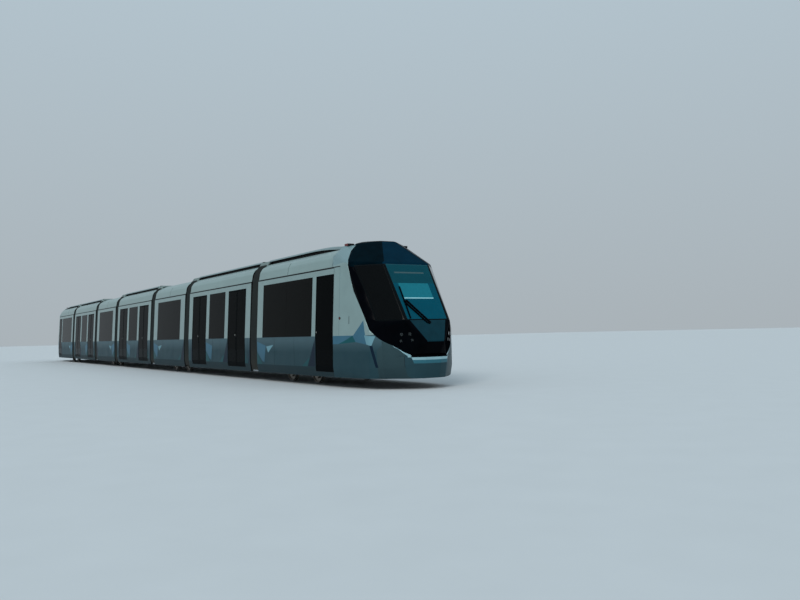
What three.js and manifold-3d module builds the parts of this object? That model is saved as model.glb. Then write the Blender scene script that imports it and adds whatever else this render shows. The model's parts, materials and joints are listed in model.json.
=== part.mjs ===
// Articulated low-floor tram of seven sections, double ended, as a 1:2 scale model.
// Sizes below are those of the full-size tram in millimetres; SCALE is applied at the end.
// +X is forward, +Y is left and +Z is up. Heights are above the rail top until the last step.
import * as THREE from 'three';
import { mergeVertices } from 'three/addons/utils/BufferGeometryUtils.js';
import { ConvexGeometry } from 'three/addons/geometries/ConvexGeometry.js';
import Module from 'manifold-3d';

const wasm = await Module();
wasm.setup();

// Scale and clearances
const SCALE = 0.5;
const GAP = 0.6;
const PAST = 10;
const CUT_IN = 1000;
const CUT_OUT = 1500;

// Places along the train
const IN_AXIS = 3220;
const MID_AXIS = 7860;
const END_AXIS = 14300;
const HALF_BELLOWS = 280;
const BODY_END = 19340;
const ROOF_END = 19200;
const BULKHEAD = 19420;
const BULKHEAD_WALL = 40;
const NOSE_CEILING = 2760;
const NOSE_ROOM_END = 21380;
const UNDER_CAB = 310;
const BUMPER_TOP = 715;
const BUMPER_FACE = 21620;
const FAR = 22300;
const WIDE = 2000;

// Cross-section of a body
const WALL = 70;
const SKIRT = 220;
const KNEE = 450;
const SILL = 1200;
const EAVES = 2850;
const HALF_WIDTH = 1325;
const HALF_SKIRT = 1290;
const HALF_EAVES = 1245;
const CEILING = 2620;
const FLOOR = 380;
const FLOOR_DEEP = 90;
const PORTAL = 60;
const PASSAGE_HALF = 650;
const PASSAGE_TOP = 2350;

// Windows and doors
const GLASS_TOP = 2680;
const GLASS = 26;
const RECESS = 2;
const DOOR_FOOT = 340;
const DOOR = 44;
const LEAF_SPLIT = 8;
const BLIND_HALF = 60;
const BLIND_REACH = 1240;
const BLIND_LOW = 2596;
const BLIND_TOP = 2614;
const DRIVE_END = 40;
const DRIVE_IN = 1040;
const DRIVE_OUT = 1225;
const DRIVE_LOW = 2460;
const DRIVE_TOP = 2580;
const RAIL_HALF = 50;
const RAIL_REACH = 1100;
const RAIL_LOW = 2556;

// Roof equipment: wells sunk in the cover, with fans in one and louvres in the other
const COVER_TOP = 3430;
const PLAIN_TOP = 3385;
const COVER_HALF = 600;
const WELL_APART = 980;
const WELL_END = 500;
const WELL_LONG = 420;
const WELL_HALF = 560;
const WELL_DEEP = 70;
const FAN_SIDES = 10;
const FAN_AT = 290;
const FAN_OUT = 250;
const FAN_IN = 225;
const FAN_TALL = 60;
const HUB_R = 50;
const HUB_TALL = 40;
const SLATS = 5;
const SLAT_THICK = 20;
const SLAT_LEAN = 90;
const SLAT_HALF = 530;

// Bogies and wheels
const WHEELBASE = 1600;
const WHEEL_R = 295;
const FLANGE = 26;
const WHEEL_BACK = 683;
const WHEEL_FACE = 790;
const AXLE_R = 52;
const PODIUM_HALF = 1250;
const PODIUM_TOP = 720;
const PODIUM_IN = 600;
const PODIUM_WALL = 40;
const PODIUM_ROOF = 60;
const THIN_FLOOR = 20;
const BEAM_IN = 850;
const BEAM_OUT = 965;
const BEAM_HALF = 1010;
const BEAM_LOW = 235;
const BEAM_TOP = 345;
const AXLE_BOX = 110;
const AXLE_BOX_LOW = 180;
const AXLE_BOX_TOP = 410;
const MOTOR_END = 240;
const MOTOR_IN = 150;
const MOTOR_OUT = 520;
const MOTOR_LOW = 200;
const MOTOR_TOP = 335;
const CROSS_AT = 300;
const CROSS_HALF = 70;
const CROSS_LOW = 215;
const CROSS_TOP = 325;
const SPRING_AT = 180;
const SPRING_HALF = 75;
const BRAKE_R = 180;
const BRAKE_FACE = 805;
const AXLE_END = 985;
const SPRING_TOP = PODIUM_TOP - PODIUM_ROOF - GAP;

// Pivots under the floor ends
const DISC_R = 620;
const SOCKET_R = 640;
const NECK = 400;
const LUG_HALF = 150;
const LUG_REACH = 760;
const LUG_LOW = 200;
const LUG_TOP = 262;
const PIN_R = 50;
const PIN_PLAY = 8;

// Seats
const SEAT_HALF = 211;
const SEAT_IN = 650;
const SEAT_OUT = 1160;
const SEAT_LOW = 430;
const SEAT_RAISED = 180;
const CUSHION = 100;
const BACK_HEIGHT = 560;
const BACK_THICK = 60;
const SINK = 5;
const FOOT_HALF = 130;
const FOOT_IN = 760;
const FOOT_OUT = 1080;

// Materials: name, colour, roughness, metalness
const PAINTS = {
  silver: [0x8fa3a1, 0.35, 0.4],
  roof: [0x9aacab, 0.5, 0.3],
  glass: [0x11181b, 0.08, 0.1],
  door: [0x0a1013, 0.1, 0.1],
  mask: [0x04141c, 0.12, 0.2],
  screen: [0x124a58, 0.06, 0.1],
  apron: [0x5a7e88, 0.4, 0.3],
  rubber: [0x1c2322, 0.85, 0.0],
  floor: [0x3d4346, 0.7, 0.0],
  frame: [0x2b2d2e, 0.6, 0.5],
  steel: [0x6d6862, 0.45, 0.8],
};

const tram = new THREE.Group();
tram.name = 'tram';

// Solids from three.js geometry
function solid(geometry) {
  geometry.deleteAttribute('normal');
  geometry.deleteAttribute('uv');
  const joined = mergeVertices(geometry, 0.01);
  return new wasm.Manifold(new wasm.Mesh({
    numProp: 3,
    vertProperties: new Float32Array(joined.attributes.position.array),
    triVerts: new Uint32Array(joined.index.array),
  }));
}

function box(x0, x1, y0, y1, z0, z1) {
  const shape = new THREE.BoxGeometry(x1 - x0, y1 - y0, z1 - z0);
  shape.translate((x0 + x1) / 2, (y0 + y1) / 2, (z0 + z1) / 2);
  return solid(shape);
}

// Box on both sides of the centre line
function boxes(x0, x1, y0, y1, z0, z1) {
  return box(x0, x1, y0, y1, z0, z1).add(box(x0, x1, -y1, -y0, z0, z1));
}

function extrude(points, depth) {
  const shape = new THREE.Shape(points.map(([u, v]) => new THREE.Vector2(u, v)));
  return new THREE.ExtrudeGeometry(shape, { depth, bevelEnabled: false, steps: 1 });
}

// Section in Y and Z run along X
function alongX(points, x0, x1) {
  const shape = extrude(points, x1 - x0);
  shape.applyMatrix4(new THREE.Matrix4().set(0, 0, 1, x0, 1, 0, 0, 0, 0, 1, 0, 0, 0, 0, 0, 1));
  return solid(shape);
}

// Side view in X and Z run along Y
function alongY(points, y0, y1) {
  const shape = extrude(points, y1 - y0);
  shape.applyMatrix4(new THREE.Matrix4().set(1, 0, 0, 0, 0, 0, -1, y1, 0, 1, 0, 0, 0, 0, 0, 1));
  return solid(shape);
}

// Plan in X and Y run along Z
function alongZ(points, z0, z1) {
  const shape = extrude(points, z1 - z0);
  shape.translate(0, 0, z0);
  return solid(shape);
}

function rod(x, y, z0, z1, radius, sides) {
  const shape = new THREE.CylinderGeometry(radius, radius, z1 - z0, sides);
  shape.rotateX(Math.PI / 2);
  shape.translate(x, y, (z0 + z1) / 2);
  return solid(shape);
}

function hull(points) {
  return solid(new ConvexGeometry(points.map(([x, y, z]) => new THREE.Vector3(x, y, z))));
}

// Half outline to a closed outline, mirrored across the centre line
function mirrored(half) {
  const other = half.map(([y, z]) => [-y, z]).reverse();
  return half.concat(other);
}

// Plan outline mirrored across the centre line
function mirroredPlan(half) {
  const other = half.map(([x, y]) => [x, -y]).reverse();
  return half.concat(other);
}

function both(points) {
  return points.concat(points.map(([x, y, z]) => [x, -y, z]));
}

// Half width of the outside at a height
function halfAt(z) {
  if (z < KNEE) {
    return HALF_SKIRT + (HALF_WIDTH - HALF_SKIRT) * (z - SKIRT) / (KNEE - SKIRT);
  }
  if (z < SILL) {
    return HALF_WIDTH;
  }
  return HALF_WIDTH + (HALF_EAVES - HALF_WIDTH) * (z - SILL) / (EAVES - SILL);
}

// Band of the side wall between two heights, from one depth below the outside to another
function sideBand(x0, x1, z0, z1, outer, inner) {
  const stops = [z0, KNEE, SILL, z1].filter((z) => z >= z0 && z <= z1);
  const out = stops.map((z) => [halfAt(z) - outer, z]);
  const back = stops.map((z) => [halfAt(z) - inner, z]).reverse();
  const right = alongX(out.concat(back), x0, x1);
  return right.add(right.mirror([0, 1, 0]));
}

// Every piece is one closed mesh in the group
function piece(name, shape, paint, turned) {
  const mesh = shape.getMesh();
  const geometry = new THREE.BufferGeometry();
  geometry.setAttribute('position', new THREE.BufferAttribute(new Float32Array(mesh.vertProperties), 3));
  geometry.setIndex(new THREE.BufferAttribute(new Uint32Array(mesh.triVerts), 1));
  geometry.translate(0, 0, FLANGE);
  if (turned) {
    geometry.rotateZ(Math.PI);
  }
  geometry.scale(SCALE, SCALE, SCALE);
  const [color, roughness, metalness] = PAINTS[paint];
  const node = new THREE.Mesh(geometry, new THREE.MeshStandardMaterial({ color, roughness, metalness }));
  node.name = name;
  tram.add(node);
}

const FLOOR_HALF = halfAt(FLOOR - FLOOR_DEEP) - WALL - GAP;

// Outside and inside of the plain body section
const OUTSIDE = mirrored([
  [HALF_SKIRT, SKIRT],
  [HALF_WIDTH, KNEE],
  [HALF_WIDTH, SILL],
  [HALF_EAVES, EAVES],
]);
const INSIDE = mirrored([
  [HALF_SKIRT - WALL, SKIRT - 100],
  [HALF_SKIRT - WALL, SKIRT],
  [HALF_WIDTH - WALL, KNEE],
  [HALF_WIDTH - WALL, SILL],
  [halfAt(CEILING) - WALL, CEILING],
]);
const UNDER = mirrored([
  [HALF_SKIRT - WALL, SKIRT - 100],
  [HALF_SKIRT - WALL, SKIRT],
  [halfAt(FLOOR) - WALL, FLOOR + GAP],
]);

// Roof sections: fairing with dark slot and equipment cover, and the closed one of the short sections
const FAIRING = [
  [1227, EAVES + GAP],
  [1186, 3070],
  [1107, 3190],
  [963, 3280],
  [881, 3330],
];
const SLOTTED = mirrored(FAIRING.concat([
  [820, 3330],
  [820, 3345],
  [905, 3362],
  [870, 3388],
  [COVER_HALF, COVER_TOP],
]));
const CLOSED = mirrored(FAIRING.concat([
  [COVER_HALF, PLAIN_TOP],
]));

// Bellows section, a little taller than the fairing
const BELLOWS = mirrored([
  [1270, 260],
  [1318, 470],
  [1318, 1240],
  [1210, 2910],
  [1115, 3160],
  [993, 3310],
  [930, 3424],
]);
const BELLOWS_IN = mirrored([
  [1225, 200],
  [1245, 500],
  [1245, 1240],
  [1150, 2640],
]);

// Front end of a cab section's roof in side view: a cap closes the slot and slopes to the hood
const CAP_FROM = 17700;
const CAP_FOOT = [
  [19400, 3290],
  [19000, 3297],
  [CAP_FROM, 3365],
];
const CAP_TOP = [
  [18080, 3440],
  [18400, 3434],
  [18800, 3396],
  [19400, 3370],
];
const CAP_CLEAR = CAP_TOP.concat([
  [19400, 3600],
  [18080, 3600],
]);
const CAP_HALF = 905;
const HOUSING_LONG = [19050, 19190];
const HOUSING_WIDE = [690, 860];

// Nose facets above the bumper, one convex form from the roof edge to the chin (x, y, z)
const NOSE_UPPER = both([
  [19340, 1325, BUMPER_TOP],
  [19340, 1325, 1200],
  [19340, 1245, 2850],
  [19200, 1227, 2860],
  [19200, 1186, 3070],
  [19200, 1107, 3190],
  [19200, 881, 3360],
  [19200, 640, 3470],
  [19200, 400, 3500],
  [19430, 660, 3420],
  [19790, 200, 3467],
  [19870, 1175, 2920],
  [20575, 625, 2865],
  [20740, 1132, 1330],
  [20740, 1131, BUMPER_TOP],
  [21436, 600, 1500],
  [21177, 790, 1050],
  [21165, 784, BUMPER_TOP],
  [21740, 240, 1040],
  [21490, 430, BUMPER_TOP],
  [21560, 190, BUMPER_TOP],
]);
// Skirt and bumper below the chin
const NOSE_LOWER = both([
  [19340, 1290, 220],
  [19340, 1325, 450],
  [19340, 1325, BUMPER_TOP],
  [20740, 1131, BUMPER_TOP],
  [20740, 1130, 450],
  [20700, 1110, 220],
  [21165, 784, BUMPER_TOP],
  [21160, 780, 450],
  [21110, 765, 220],
  [21517, 440, BUMPER_TOP],
  [21517, 440, 560],
  [21440, 430, 220],
  [BUMPER_FACE, 200, BUMPER_TOP],
  [BUMPER_FACE, 200, 560],
  [21540, 190, 220],
]);

// Same facets moved inwards by the wall, and cut off at a top
function shrink(points, top) {
  const about = [19200, 0, 1300];
  const factor = [0.965, 0.945, 0.93];
  return points.map((p) => {
    const q = p.map((v, i) => about[i] + (v - about[i]) * factor[i]);
    return [q[0], q[1], Math.min(q[2], top)];
  });
}

// Side view of the dark mask: rear edge from the roof to the chin, then round the front
const MASK_EDGE = [
  [19390, 3600],
  [19430, 3430],
  [19555, 3219],
  [19867, 2924],
  [20030, 2480],
  [20138, 2225],
  [20338, 1940],
  [20740, 1326],
  [20856, 1182],
  [20931, 1111],
  [21087, 1007],
  [21183, 956],
  [21266, 892],
  [21421, 759],
  [21496, 731],
  [21600, 720],
];
const MASK_FRONT = [
  [FAR, 720],
  [FAR, 3600],
];

// Lamps on the mask: place, half width, height, radius
const LAMPS = [
  [21349, 654, 1199, 46],
  [21484, 518, 1205, 46],
  [21328, 658, 1056, 40],
  [21512, 474, 1072, 40],
];
const LAMP_FACING = [0.709, 0.701, -0.08];
const LAMP_DEEP = 24;
const LAMP_PROUD = 7;

// Side view of the wraparound windscreen inside the mask
const SCREEN = [
  [20030, 2830],
  [20520, 2062],
  [20830, 1510],
  [22000, 1510],
  [22000, 2830],
];

// Side view moved outwards by a distance
function grown(points, d) {
  const n = points.length;
  let area = 0;
  points.forEach(([x, z], i) => {
    const [x2, z2] = points[(i + 1) % n];
    area += x * z2 - x2 * z;
  });
  const turn = Math.sign(area);
  return points.map((p, i) => {
    const a = new THREE.Vector2(...points[(i + n - 1) % n]);
    const b = new THREE.Vector2(...p);
    const c = new THREE.Vector2(...points[(i + 1) % n]);
    const u = b.clone().sub(a).normalize();
    const v = c.clone().sub(b).normalize();
    const nu = new THREE.Vector2(u.y, -u.x).multiplyScalar(turn);
    const nv = new THREE.Vector2(v.y, -v.x).multiplyScalar(turn);
    const bis = nu.clone().add(nv);
    const k = 2 * d / bis.lengthSq();
    return [b.x + bis.x * k, b.y + bis.y * k];
  });
}

// Nose shell, before it is split into cab, mask, windscreen and apron
function nose() {
  const inner = hull(shrink(NOSE_UPPER.concat(NOSE_LOWER), NOSE_CEILING));
  const room = inner.intersect(
    box(BULKHEAD + BULKHEAD_WALL, NOSE_ROOM_END, -WIDE, WIDE, FLOOR, NOSE_CEILING),
  );
  const under = inner.intersect(box(ROOF_END, NOSE_ROOM_END, -WIDE, WIDE, UNDER_CAB, FLOOR + GAP));
  let shell = hull(NOSE_UPPER).add(hull(NOSE_LOWER)).subtract(room);
  for (const drop of [0, 60, 110]) {
    shell = shell.subtract(under.translate([0, 0, -drop]));
  }
  return shell
    .subtract(alongX(INSIDE, BODY_END - PAST, BULKHEAD))
    .subtract(box(ROOF_END - PAST, BODY_END + GAP, -WIDE, WIDE, 0, EAVES + GAP));
}

// Lamps of both sides, standing a little proud of the mask
function lamps() {
  const facing = new THREE.Vector3(...LAMP_FACING).normalize();
  let all = null;
  for (const [x, y, z, radius] of LAMPS) {
    const shape = new THREE.CylinderGeometry(radius, radius, LAMP_DEEP + LAMP_PROUD, 8);
    shape.translate(0, (LAMP_PROUD - LAMP_DEEP) / 2, 0);
    shape.applyQuaternion(new THREE.Quaternion().setFromUnitVectors(new THREE.Vector3(0, 1, 0), facing));
    shape.translate(x, y, z);
    const lamp = solid(shape);
    all = all ? all.add(lamp) : lamp;
  }
  return all.add(all.mirror([0, 1, 0]));
}

// Openings of one body: windows and doors, both sides
function cutOpenings(shell, windows, doors) {
  let body = shell;
  for (const [x0, x1] of windows) {
    body = body.subtract(boxes(x0, x1, CUT_IN, CUT_OUT, SILL, GLASS_TOP));
  }
  for (const [x0, x1] of doors) {
    body = body.subtract(boxes(x0, x1, CUT_IN, CUT_OUT, DOOR_FOOT, GLASS_TOP));
  }
  return body;
}

// Body of plain section between two portals
function plainBody(x0, x1) {
  const outer = alongX(OUTSIDE, x0, x1);
  const room = alongX(INSIDE, x0 + PORTAL, x1 - PORTAL);
  const under = alongX(UNDER, x0 - PAST, x1 + PAST);
  const way = box(x0 - PAST, x1 + PAST, -PASSAGE_HALF, PASSAGE_HALF, FLOOR, PASSAGE_TOP);
  return outer.subtract(room).subtract(under).subtract(way);
}

// Roof of one body, with fans in the well near its rear end and louvres near the other
function roof(x0, x1, section, top, wellEnd) {
  const mid = (x0 + wellEnd) / 2;
  const apart = Math.min(WELL_APART, (wellEnd - x0) / 2 - WELL_END);
  const rear = mid - apart;
  const front = mid + apart;
  const deck = top - WELL_DEEP;
  let all = alongX(section, x0, x1);
  for (const at of [rear, front]) {
    all = all.subtract(box(at - WELL_LONG, at + WELL_LONG, -WELL_HALF, WELL_HALF, deck, top + PAST));
  }
  for (const y of [-FAN_AT, FAN_AT]) {
    const ring = rod(rear, y, deck - SINK, deck + FAN_TALL, FAN_OUT, FAN_SIDES)
      .subtract(rod(rear, y, deck, deck + FAN_TALL + PAST, FAN_IN, FAN_SIDES));
    all = all.add(ring).add(rod(rear, y, deck - SINK, deck + HUB_TALL, HUB_R, 6));
  }
  const pitch = (2 * WELL_LONG - SLAT_THICK) / SLATS;
  for (let i = 0; i < SLATS; i += 1) {
    const foot = front - WELL_LONG + SLAT_THICK + i * pitch;
    all = all.add(alongY([
      [foot, deck - SINK],
      [foot + SLAT_THICK, deck - SINK],
      [foot + SLAT_THICK + SLAT_LEAN, deck + FAN_TALL],
      [foot + SLAT_LEAN, deck + FAN_TALL],
    ], -SLAT_HALF, SLAT_HALF));
  }
  return all;
}

// Roof of a cab section, with the cap and a housing on each side behind the hood
function cabRoof(x0, x1) {
  const cap = alongY(CAP_TOP.concat(CAP_FOOT), -CAP_HALF, CAP_HALF);
  return roof(x0, x1, SLOTTED, COVER_TOP, CAP_FROM)
    .subtract(alongY(CAP_CLEAR, -WIDE, WIDE))
    .add(cap.intersect(box(x0, x1, -WIDE, WIDE, EAVES, FAR)))
    .add(boxes(...HOUSING_LONG, ...HOUSING_WIDE, 3350, 3460));
}

// Panes of a module, joined across the ceiling by their blind rail
function glazing(windows) {
  let all = null;
  for (const [x0, x1] of windows) {
    const mid = (x0 + x1) / 2;
    const panes = sideBand(x0 + GAP, x1 - GAP, SILL + GAP, GLASS_TOP - GAP, RECESS, RECESS + GLASS);
    const rail = box(mid - BLIND_HALF, mid + BLIND_HALF, -BLIND_REACH, BLIND_REACH, BLIND_LOW, BLIND_TOP);
    const unit = panes.add(rail);
    all = all ? all.add(unit) : unit;
  }
  return all;
}

// Door leaves and drives of a module, joined under the ceiling by the drive rail
function doorSet(doors) {
  let all = null;
  for (const [x0, x1, leaves] of doors) {
    const mid = (x0 + x1) / 2;
    let set = sideBand(x0 + GAP, x1 - GAP, DOOR_FOOT + GAP, GLASS_TOP - GAP, RECESS + 2, RECESS + 2 + DOOR);
    if (leaves === 2) {
      const top = DRIVE_LOW - DRIVE_END;
      set = set.subtract(boxes(mid - LEAF_SPLIT, mid + LEAF_SPLIT, CUT_IN, CUT_OUT, 0, top));
    }
    const drive = boxes(x0 + DRIVE_END, x1 - DRIVE_END, DRIVE_IN, DRIVE_OUT, DRIVE_LOW, DRIVE_TOP);
    const rail = box(mid - RAIL_HALF, mid + RAIL_HALF, -RAIL_REACH, RAIL_REACH, RAIL_LOW, DRIVE_TOP);
    set = set.add(drive).add(rail);
    all = all ? all.add(set) : set;
  }
  const first = doors[0];
  const last = doors[doors.length - 1];
  return all.add(box(first[0] + 100, last[1] - 100, -RAIL_HALF, RAIL_HALF, RAIL_LOW, DRIVE_TOP));
}

// Two places in rising order
function span(a, b) {
  return [Math.min(a, b), Math.max(a, b)];
}

// Bench on both sides facing +1 or -1 along X, on a foot over the low floor or on a wheel box
function bench(x, face, base) {
  const raised = base > FLOOR;
  const seat = base + (raised ? SEAT_RAISED : SEAT_LOW);
  const low = raised ? base - SINK : seat - CUSHION;
  const rear = span(x - face * (SEAT_HALF - 1), x - face * (SEAT_HALF + BACK_THICK));
  const set = boxes(x - SEAT_HALF, x + SEAT_HALF, SEAT_IN, SEAT_OUT, low, seat)
    .add(boxes(...rear, SEAT_IN, SEAT_OUT, low, seat + BACK_HEIGHT));
  if (raised) {
    return set;
  }
  return set.add(boxes(x - FOOT_HALF, x + FOOT_HALF, FOOT_IN, FOOT_OUT, base - SINK, low + SINK));
}

// Raised boxes of the floor over the wheels of a bogie, open below
function wheelBoxes(floor, bogie) {
  const a = bogie - PODIUM_HALF;
  const b = bogie + PODIUM_HALF;
  const over = boxes(a, b, PODIUM_IN, FLOOR_HALF, FLOOR - FLOOR_DEEP, PODIUM_TOP);
  const wells = boxes(
    a + PODIUM_WALL, b - PODIUM_WALL, PODIUM_IN + PODIUM_WALL, WIDE, 0, PODIUM_TOP - PODIUM_ROOF,
  );
  const half = PODIUM_IN + PODIUM_WALL + 1;
  const middle = box(a + PODIUM_WALL, b - PODIUM_WALL, -half, half, 0, FLOOR - THIN_FLOOR);
  return floor.add(over).subtract(wells).subtract(middle);
}

// Lower half of a pivot: round cut in the floor end, with a lug and eye below it
function socket(floor, axis, away) {
  const lug = box(...span(axis, axis + away * LUG_REACH), -LUG_HALF, LUG_HALF, LUG_LOW, LUG_TOP);
  const root = span(axis + away * (LUG_REACH - 100), axis + away * LUG_REACH);
  const hanger = box(...root, -LUG_HALF, LUG_HALF, LUG_LOW, FLOOR - FLOOR_DEEP + PAST);
  const eye = rod(axis, 0, LUG_LOW, LUG_TOP, LUG_HALF, 12);
  const hole = rod(axis, 0, LUG_LOW - PAST, LUG_TOP + PAST, PIN_R + PIN_PLAY, 12);
  const cut = rod(axis, 0, 0, PODIUM_TOP, SOCKET_R, 24);
  return floor.subtract(cut).add(lug).add(hanger).add(eye).subtract(hole);
}

// Upper half of a pivot: round floor tongue with its pin
function tongue(floor, axis, away) {
  const low = FLOOR - FLOOR_DEEP;
  const neck = box(...span(axis, axis + away * NECK), -DISC_R, DISC_R, low, FLOOR);
  const disc = rod(axis, 0, low, FLOOR, DISC_R, 24);
  const pin = rod(axis, 0, LUG_LOW - PAST, low + SINK, PIN_R, 12);
  return floor.add(neck).add(disc).add(pin);
}

// Floor plate with what stands on it; sockets and tongues are [axis, direction to the own body]
function floorPlate(plan, bogie, sockets, tongues, benches) {
  let floor = alongZ(mirroredPlan(plan), FLOOR - FLOOR_DEEP, FLOOR);
  if (bogie !== null) {
    floor = wheelBoxes(floor, bogie);
  }
  for (const [axis, away] of sockets) {
    floor = socket(floor, axis, away);
  }
  for (const [axis, away] of tongues) {
    floor = tongue(floor, axis, away);
  }
  for (const [x, face, base] of benches) {
    floor = floor.add(bench(x, face, base));
  }
  return floor;
}

// Ribbed bellows around a pivot: folds by turns full and drawn in
const FOLDS = 7;
const DRAWN_IN = 0.972;
const FOLD_CENTRE = 1400;
function bellows(axis) {
  const reach = HALF_BELLOWS - GAP;
  const step = 2 * reach / FOLDS;
  let all = null;
  for (let i = 0; i < FOLDS; i += 1) {
    const k = i % 2 === 0 ? 1 : DRAWN_IN;
    const outline = BELLOWS.map(([y, z]) => [y * k, FOLD_CENTRE + (z - FOLD_CENTRE) * k]);
    const ring = alongX(outline, axis - reach + i * step, axis - reach + (i + 1) * step);
    all = all ? all.add(ring) : ring;
  }
  return all.subtract(alongX(BELLOWS_IN, axis - reach - PAST, axis + reach + PAST));
}

// Bogie frame: side beams with axle boxes, cross beams, springs and motors
function bogieFrame(x) {
  let frame = boxes(x - BEAM_HALF, x + BEAM_HALF, BEAM_IN, BEAM_OUT, BEAM_LOW, BEAM_TOP)
    .add(boxes(x - MOTOR_END, x + MOTOR_END, MOTOR_IN, MOTOR_OUT, MOTOR_LOW, MOTOR_TOP));
  for (const side of [-1, 1]) {
    const axle = x + side * WHEELBASE / 2;
    const beam = x + side * CROSS_AT;
    const spring = span(x + side * (SPRING_AT - SPRING_HALF), x + side * (SPRING_AT + SPRING_HALF));
    frame = frame
      .add(boxes(axle - AXLE_BOX, axle + AXLE_BOX, BEAM_IN, BEAM_OUT, AXLE_BOX_LOW, AXLE_BOX_TOP))
      .add(box(beam - CROSS_HALF, beam + CROSS_HALF, -BEAM_IN - PAST, BEAM_IN + PAST, CROSS_LOW, CROSS_TOP))
      .add(boxes(...spring, BEAM_IN + PAST, BEAM_OUT - SINK, BEAM_TOP - SINK, SPRING_TOP));
  }
  for (const side of [-1, 1]) {
    const bore = new THREE.CylinderGeometry(AXLE_R + GAP, AXLE_R + GAP, 2 * WIDE, 32);
    bore.translate(x + side * WHEELBASE / 2, 0, WHEEL_R);
    frame = frame.subtract(solid(bore));
  }
  return frame;
}

// Wheelset: one turned profile along Y, radius against place, with a brake disc on each web
const WEB_FACE = WHEEL_FACE - 30;
const RIM_IN = 245;
function wheelset(x) {
  const half = [
    [0, AXLE_END],
    [AXLE_R, AXLE_END],
    [AXLE_R, BRAKE_FACE],
    [BRAKE_R, BRAKE_FACE],
    [BRAKE_R, WEB_FACE],
    [RIM_IN, WHEEL_FACE],
    [WHEEL_R, WHEEL_FACE],
    [WHEEL_R, WHEEL_BACK + 32],
    [WHEEL_R + FLANGE, WHEEL_BACK + 18],
    [WHEEL_R + FLANGE, WHEEL_BACK + 4],
    [AXLE_R, WHEEL_BACK],
  ];
  const profile = half.concat(half.map(([r, y]) => [r, -y]).reverse());
  const shape = new THREE.LatheGeometry(profile.map(([r, y]) => new THREE.Vector2(r, -y)), 16);
  shape.translate(x, 0, WHEEL_R);
  return solid(shape);
}

// Middle sections: name, name of the turned twin, ends, windows, doors, bogie, floor ends, benches
const HUNG_DOORS = [-1800, 1800];
// Benches: place from the middle of the section or bogie, direction they face, what they stand on
const HUNG_SEATS = [
  [-450, 1, FLOOR],
  [450, -1, FLOOR],
];
const BOGIE_SEATS = [
  [-930, 1, PODIUM_TOP],
  [-130, -1, PODIUM_TOP],
  [280, 1, PODIUM_TOP],
  [1010, -1, PODIUM_TOP],
];
const SECTIONS = [
  {
    names: ['m2', 'm6'],
    from: MID_AXIS + HALF_BELLOWS,
    to: END_AXIS - HALF_BELLOWS,
    bogie: null,
    hung: true,
    sockets: [[MID_AXIS, 1]],
    tongues: [[END_AXIS, -1]],
  },
  {
    names: ['m3', 'm5'],
    from: IN_AXIS + HALF_BELLOWS,
    to: MID_AXIS - HALF_BELLOWS,
    bogie: (IN_AXIS + MID_AXIS) / 2,
    hung: false,
    sockets: [[IN_AXIS, 1]],
    tongues: [[MID_AXIS, -1]],
  },
  {
    names: ['m4'],
    from: -IN_AXIS + HALF_BELLOWS,
    to: IN_AXIS - HALF_BELLOWS,
    bogie: null,
    hung: true,
    sockets: [],
    tongues: [[IN_AXIS, -1], [-IN_AXIS, 1]],
  },
];

for (const s of SECTIONS) {
  const mid = (s.from + s.to) / 2;
  const windows = s.hung ? [[mid - 760, mid + 760]] : [[mid - 1520, mid + 1520]];
  const doors = s.hung ? HUNG_DOORS.map((d) => [mid + d - 750, mid + d + 750, 2]) : [];
  const seats = s.hung ? HUNG_SEATS : BOGIE_SEATS;
  const benches = seats.map(([d, face, base]) => [mid + d, face, base]);
  const plan = [[s.from, FLOOR_HALF], [s.to, FLOOR_HALF]];
  const shell = cutOpenings(plainBody(s.from, s.to), windows, doors);
  const cover = s.hung
    ? roof(s.from, s.to, SLOTTED, COVER_TOP, s.to)
    : roof(s.from, s.to, CLOSED, PLAIN_TOP, s.to);
  const floor = floorPlate(plan, s.bogie, s.sockets, s.tongues, benches);
  s.names.forEach((name, turned) => {
    piece(`${name}_body`, shell, 'silver', turned);
    piece(`${name}_roof`, cover, 'roof', turned);
    piece(`${name}_floor`, floor, 'floor', turned);
    piece(`${name}_glazing`, glazing(windows), 'glass', turned);
    if (s.hung) {
      piece(`${name}_doors`, doorSet(doors), 'door', turned);
    }
    if (s.bogie !== null) {
      piece(`${name}_bogie`, bogieFrame(s.bogie), 'frame', turned);
      piece(`${name}_wheelset_a`, wheelset(s.bogie + WHEELBASE / 2), 'steel', turned);
      piece(`${name}_wheelset_b`, wheelset(s.bogie - WHEELBASE / 2), 'steel', turned);
    }
  });
}

// Cab sections: saloon shell, then the nose shell parted along the mask, windscreen and apron
const CAB_FROM = END_AXIS + HALF_BELLOWS;
const CAB_WINDOWS = [[14985, 18180]];
const CAB_DOORS = [[18390, BODY_END, 1]];
const CAB_BOGIE = 16580;
const APRON_SEAM = 20980;
const APRON_SIDE = [
  [APRON_SEAM, 100],
  [APRON_SEAM, 1400],
  [FAR, 1400],
  [FAR, 100],
];
const cabSaloon = alongX(OUTSIDE, CAB_FROM, BODY_END)
  .subtract(alongX(INSIDE, CAB_FROM + PORTAL, BODY_END + PAST))
  .subtract(alongX(UNDER, CAB_FROM - PAST, BODY_END + PAST))
  .subtract(box(CAB_FROM - PAST, CAB_FROM + PORTAL + PAST, -PASSAGE_HALF, PASSAGE_HALF, FLOOR, PASSAGE_TOP));
const maskSide = MASK_EDGE.concat(MASK_FRONT);
const noseShell = nose();
const maskAll = noseShell.intersect(alongY(maskSide, -WIDE, WIDE));
const screen = maskAll.intersect(alongY(grown(SCREEN, -GAP), -WIDE, WIDE));
const mask = maskAll.subtract(alongY(SCREEN, -WIDE, WIDE)).add(lamps());
const silver = noseShell.subtract(alongY(grown(maskSide, GAP), -WIDE, WIDE));
const apron = silver.intersect(alongY(grown(APRON_SIDE, -GAP), -WIDE, WIDE));
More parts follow.
